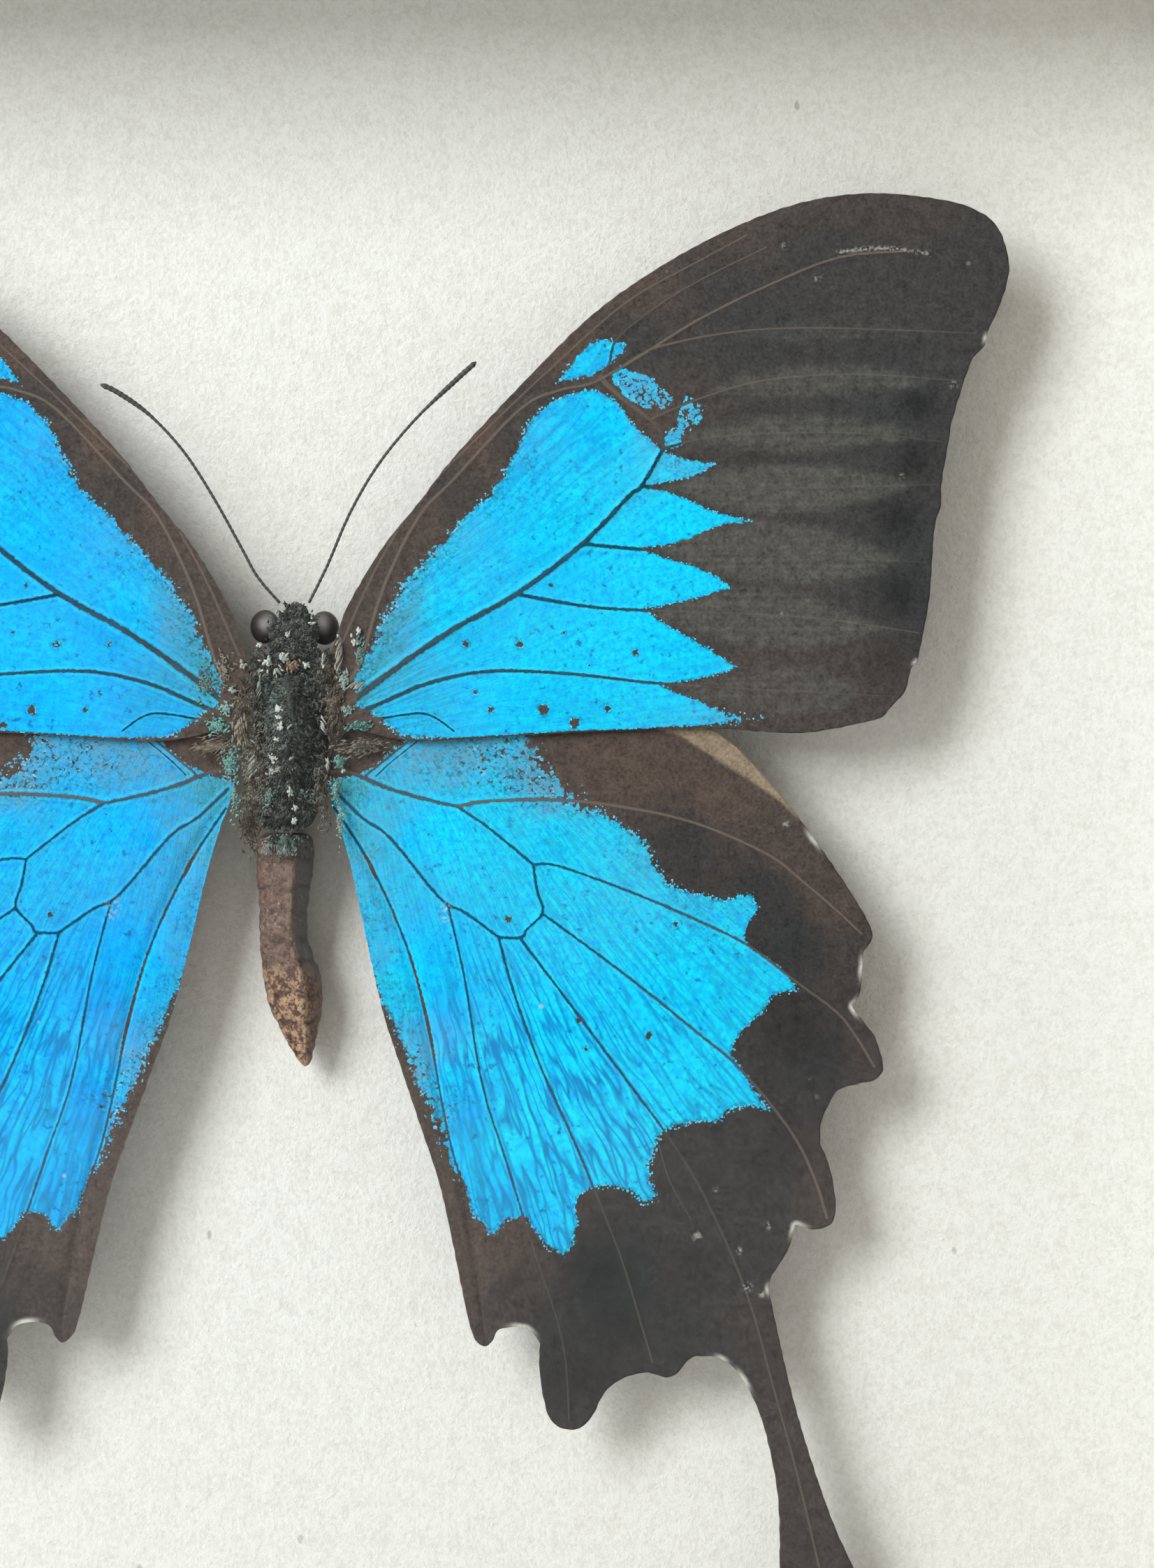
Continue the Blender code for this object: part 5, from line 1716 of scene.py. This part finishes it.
FLAKES = (
    flakes((-0.55, 5.4), (0.38, 0.28), 26, (0.22, 0.42), 20, 0.12, 90, 0.25, white=1),
    flakes((-1.6, 4.95), (0.40, 0.50), 26, (0.22, 0.42), 70, 0.11, 90, 0.25, white=0.85, teal=0.4),
    flakes((-0.9, 4.4), (0.35, 0.3), 12, (0.3, 0.5), -45, 0.07, 20, 0.2, white=0.8),
    flakes((0.25, 4.85), (0.5, 0.45), 40, (0.25, 0.5), DOWN, 0.09, 60, 0.15, ochre=1),
    flakes((1.22, 4.75), (0.28, 0.16), 12, (0.2, 0.34), 0, 0.11, 80, 0.25, white=0.9),
    flakes((1.62, 7.9), (0.15, 0.05), 7, (0.2, 0.36), 0, 0.09, 20, 0.2, white=1),
    flakes((-0.95, 8.8), (0.12, 0.12), 7, (0.15, 0.26), 30, 0.09, 60, white=0.6),
    flakes((-2.25, 6.25), (0.14, 0.14), 9, (0.15, 0.28), 60, 0.1, 90, 0.3, white=0.85),
    flakes((-0.15, 6.95), (0.32, 0.22), 14, (0.25, 0.45), 40, 0.06, 15, 0.2, white=0.75),
    flakes((3.67, 6.9), (0.1, 0.12), 6, (0.15, 0.25), 70, 0.08, 60, white=0.6),
    flakes((5.2, 7.3), (0.13, 0.32), 14, (0.2, 0.36), 75, 0.10, 30, white=1),
    flakes((4.88, 6.4), (0.18, 0.42), 16, (0.2, 0.36), 70, 0.10, 30, white=0.95),
    flakes((2.5, 5), (0.08, 0.5), 12, (0.35, 0.6), 70, 0.07, 8, white=0.55, ochre=0.2),
    flakes((-3.6, 4.9), (0.22, 0.28), 14, (0.2, 0.4), -55, 0.09, 40, white=0.7, ochre=0.5),
    flakes((-4.3, 2.85), (0.26, 0.22), 14, (0.2, 0.34), 0, 0.09, 90, white=0.6, teal=0.6),
    flakes((-0.73, 1.4), (0.17, 0.20), 14, (0.2, 0.34), UP, 0.11, 60, 0.2, white=1),
    flakes((-0.75, 0.8), (0.16, 0.12), 9, (0.18, 0.3), UP, 0.10, 60, 0.2, white=1),
    flakes((-0.62, 0.08), (0.34, 0.22), 18, (0.2, 0.38), 0, 0.09, 90, 0.2, white=0.9),
    flakes((0.1, 0.15), (0.18, 0.08), 5, (0.2, 0.3), 0, 0.07, 50, 0.2, white=0.5),
    flakes((-0.85, -0.95), (0.17, 0.16), 9, (0.18, 0.34), 80, 0.08, 60, 0.2, white=0.8),
    flakes((-1.1, -2.4), (0.20, 0.36), 18, (0.2, 0.36), 60, 0.10, 60, 0.2, white=0.9),
    flakes((-1.35, -3.2), (0.36, 0.24), 18, (0.2, 0.36), 0, 0.09, 90, 0.2, white=0.6, ochre=0.1),
    flakes((-0.75, -3.1), (0.2, 0.2), 9, (0.2, 0.34), 0, 0.07, 90, 0.2, white=0.5),
    flakes((0.08, -2.3), (0.15, 0.12), 6, (0.2, 0.36), 45, 0.06, 20, 0.2, white=0.5),
    flakes((0.12, -4.9), (0.20, 0.34), 14, (0.2, 0.34), 80, 0.09, 50, 0.2, white=0.8, teal=0.3),
    flakes((0.45, -6), (0.14, 0.13), 9, (0.15, 0.28), 0, 0.09, 90, 0.2, white=0.85),
    flakes((0.31, -7), (0.2, 0.13), 14, (0.2, 0.34), 10, 0.10, 60, 0.25, white=1),
    flakes((-2.15, 3.4), (0.10, 0.8), 16, (0.5, 0.9), -100, 0.07, 8, white=0.3, teal=0.3),
    flakes((2.42, 0.4), (0.07, 0.65), 18, (0.4, 0.8), -80, 0.06, 5, 0.15, white=0.75),
    flakes((2.85, -2.5), (0.08, 0.5), 14, (0.4, 0.7), -70, 0.06, 6, 0.15, white=0.65),
    flakes((4.05, -3.2), (0.13, 0.1), 7, (0.18, 0.3), 0, 0.09, 60, white=0.8),
    flakes((-3.3, -1), (0.5, 0.12), 18, (0.5, 0.9), -40, 0.09, 6, white=0.35, ochre=0.3),
    flakes((-2.6, -2.6), (0.18, 0.7), 24, (0.5, 1), -110, 0.09, 8, white=0.35, ochre=0.25),
    flakes((-3.75, 0.1), (0.5, 0.85), 90, (0.5, 0.9), -80, 0.10, 12, 0.25, ochre=0.7, white=0.15),
    Patch((3.35, 0.1), (0.55, 0.65), 60, (0.4, 0.7), -85, 0.10, 15, tone=(0.3, 0.7), ochre=0.25, raised=0.15),
    flakes((3.6, 5.2), (0.16, 1.3), 40, (0.6, 1.1), 65, 0.08, 6, 0.15, ochre=0.5, white=0.25),
    flakes((4.9, 3), (0.5, 0.16), 16, (0.6, 1), 45, 0.06, 5, white=0.55, ochre=0.1),
)


# ---- Frame, studio and scene ----


@dataclass(frozen=True)
class FramePack:
    """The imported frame, glass, card and metalwork, which keep their shapes and get finishes."""

    oak: OakFinish = field(default_factory=OakFinish)
    card: CardFinish = field(default_factory=CardFinish)
    glass: GlassFinish = field(default_factory=GlassFinish)
    board: BoardFinish = field(default_factory=BoardFinish)
    steel: SteelFinish = field(default_factory=SteelFinish)

    def build(self) -> None:
        """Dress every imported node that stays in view."""
        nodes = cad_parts
        across = self.oak.material("oak_across", Grain.ACROSS)
        upright = self.oak.material("oak_upright", Grain.UPRIGHT)
        for side, wood in (("top", across), ("bottom", across), ("left", upright), ("right", upright)):
            dress(nodes["rail_" + side], wood)
        spacer = self.card.material("spacer_card")
        for side in ("top", "right", "bottom", "left"):
            dress(nodes["spacer_" + side], spacer)
        dress(nodes["mount_card"], self.card.material("mount_card_face"))
        dress(nodes["glass_pane"], self.glass.material("picture_glass"))
        dress(nodes["backing_board"], self.board.material("hardboard_face"))
        steel = self.steel.material("plated_steel")
        metal = ["sawtooth_hanger", "hanger_nail_left", "hanger_nail_right"]
        for name in [*metal, *(f"framers_point_{number}" for number in range(1, 9))]:
            dress(nodes[name], steel)


@dataclass(frozen=True)
class Studio:
    """A pale floor, a large soft lamp at the upper left and a dim even room."""

    floor: Colour = (0.72, 0.71, 0.69)
    floor_half: float = 1.6
    lamp_azimuth: float = -43.0
    lamp_height: float = 24.0
    lamp_reach: float = 1.0
    lamp_size: tuple[float, float] = (0.60, 0.60)
    lamp_power: float = 16.0
    lamp_colour: Colour = (0.965, 0.985, 1.0)
    room_colour: Colour = (1.0, 0.875, 0.77)
    room_strength: float = 0.30

    def build(self) -> None:
        """Lay the floor, hang the lamp and light the room."""
        bpy.ops.object.select_all(action="DESELECT")
        bpy.ops.mesh.primitive_plane_add(size=2 * self.floor_half, location=(0.0, 0.0, 0.0))
        floor = bpy.context.object
        floor.name = "floor"
        surface = Surface("pale_floor")
        cloud = surface.noise(120.0, 2.0)
        dress(floor, surface.set(Base_Color=surface.mix(cloud * 0.2, self.floor, (0.66, 0.65, 0.63)),
                                 Roughness=0.8))
        azimuth, height = math.radians(self.lamp_azimuth), math.radians(self.lamp_height)
        target = Vector((0.02, 0.0, THORAX_Z * MM))
        away = Vector((math.sin(azimuth) * math.cos(height), -math.cos(azimuth) * math.cos(height),
                       math.sin(height)))
        bpy.ops.object.light_add(type="AREA", location=target + away * self.lamp_reach)
        lamp = bpy.context.object
        lamp.name = "soft_lamp"
        lamp.rotation_euler = away.to_track_quat("Z", "Y").to_euler()
        lamp.data.shape = "RECTANGLE"
        lamp.data.size, lamp.data.size_y = self.lamp_size
        lamp.data.energy = self.lamp_power
        lamp.data.color = self.lamp_colour
        world = bpy.data.worlds.new("room")
        bpy.context.scene.world = world
        world.use_nodes = True
        background = world.node_tree.nodes["Background"]
        background.inputs["Color"].default_value = (*self.room_colour, 1.0)
        background.inputs["Strength"].default_value = self.room_strength


@dataclass(frozen=True)
class Viewpoint:
    """A camera straight in front of the right-hand wings, close to the glass."""

    place: Colour = (0.0217, -0.301, 0.0938)
    lens: float = 91.3

    def build(self) -> None:
        """Set up the camera."""
        bpy.ops.object.camera_add(location=self.place, rotation=(math.pi / 2, 0.0, 0.0))
        camera = bpy.context.object
        camera.data.lens = self.lens
        camera.data.sensor_width = 36.0
        camera.data.clip_start = 0.01
        scene = bpy.context.scene
        scene.camera = camera
        scene.view_settings.view_transform = "Standard"


WINGS = (
    Wing("hindwing_left", HIND_PATTERN, Placement(-0.7, 1.5), -0.30),
    Wing("hindwing_right", HIND_PATTERN, Placement(), -0.30),
    Wing("forewing_left", FORE_PATTERN, Placement(-0.1), -1.00),
    Wing("forewing_right", FORE_PATTERN, Placement(), -1.00),
)
# painted shade: the left wings get a darker blue, as they catch the lamp at another angle
LEFT_BLUE_SHADED = {"bright": (0.0, 0.60, 1.0), "deep": (0.0, 0.28, 0.90)}
HIND_DARKS = {"black": (0.034, 0.036, 0.038), "ink": (0.003, 0.05, 0.10), "stroke": 1.1}
WING_FINISHES = {
    "hindwing_left": WingFinish(**HIND_DARKS, **LEFT_BLUE_SHADED),
    "hindwing_right": WingFinish(**HIND_DARKS, bright=(0.0, 0.79, 1.0)),
    "forewing_left": WingFinish(**LEFT_BLUE_SHADED),
    "forewing_right": WingFinish(),
}
EYES = (
    Eye("eye_left", (-2.0, 7.75), eye_sheen=(0.30, 0.15)),
    Eye("eye_right", (2.5, 7.65), eye_sheen=(-0.15, 0.20)),
)
ANTENNAE = (
    Antenna("antenna_left", ((-0.8, 9.5), (-2.5, 11.5), (-3.7, 13.7), (-5.8, 17.5), (-8.0, 20.9),
                             (-10.5, 23.6), (-12.9, 25.3), (-14.2, 25.9))),
    Antenna("antenna_right", ((1.4, 9.5), (2.8, 12.3), (4.5, 16.2), (6.6, 19.8), (9.3, 23.1),
                              (12.2, 25.9), (14.1, 27.6))),
)


def main() -> None:
    """Build the pieces in order, then the light, floor and camera."""
    FramePack().build()
    LOG.info("frame dressed")
    for wing in WINGS:
        made = wing.build(WING_FINISHES[wing.node])
        LOG.info("%s has %d faces", wing.node, len(made.data.polygons))
    skin = SkinFinish()
    for part in (Trunk(HEAD, 0.08), Trunk(THORAX, 0.14)):
        part.build(skin)
        LOG.info("%s made", part.loft.node)
    Abdomen().build(AbdomenFinish())
    LOG.info("abdomen made")
    for eye in EYES:
        eye.build(EyeFinish())
    for antenna in ANTENNAE:
        antenna.build(AntennaFinish())
    LOG.info("eyes and antennae made")
    for coat in (Coat("body_fur", FUR, (HEAD, THORAX, ABDOMEN), loose=False),
                 Coat("wing_root_tufts", TUFTS, (HEAD, THORAX), seed=8, lie=0.3),
                 Coat("pale_flakes", FLAKES, (HEAD, THORAX), seed=9)):
        made = coat.build(FurFinish())
        LOG.info("%s has %d faces", coat.name, len(made.data.polygons))
    Studio().build()
    Viewpoint().build()


if __name__ == "__main__":
    logging.basicConfig(level=logging.INFO)
    main()
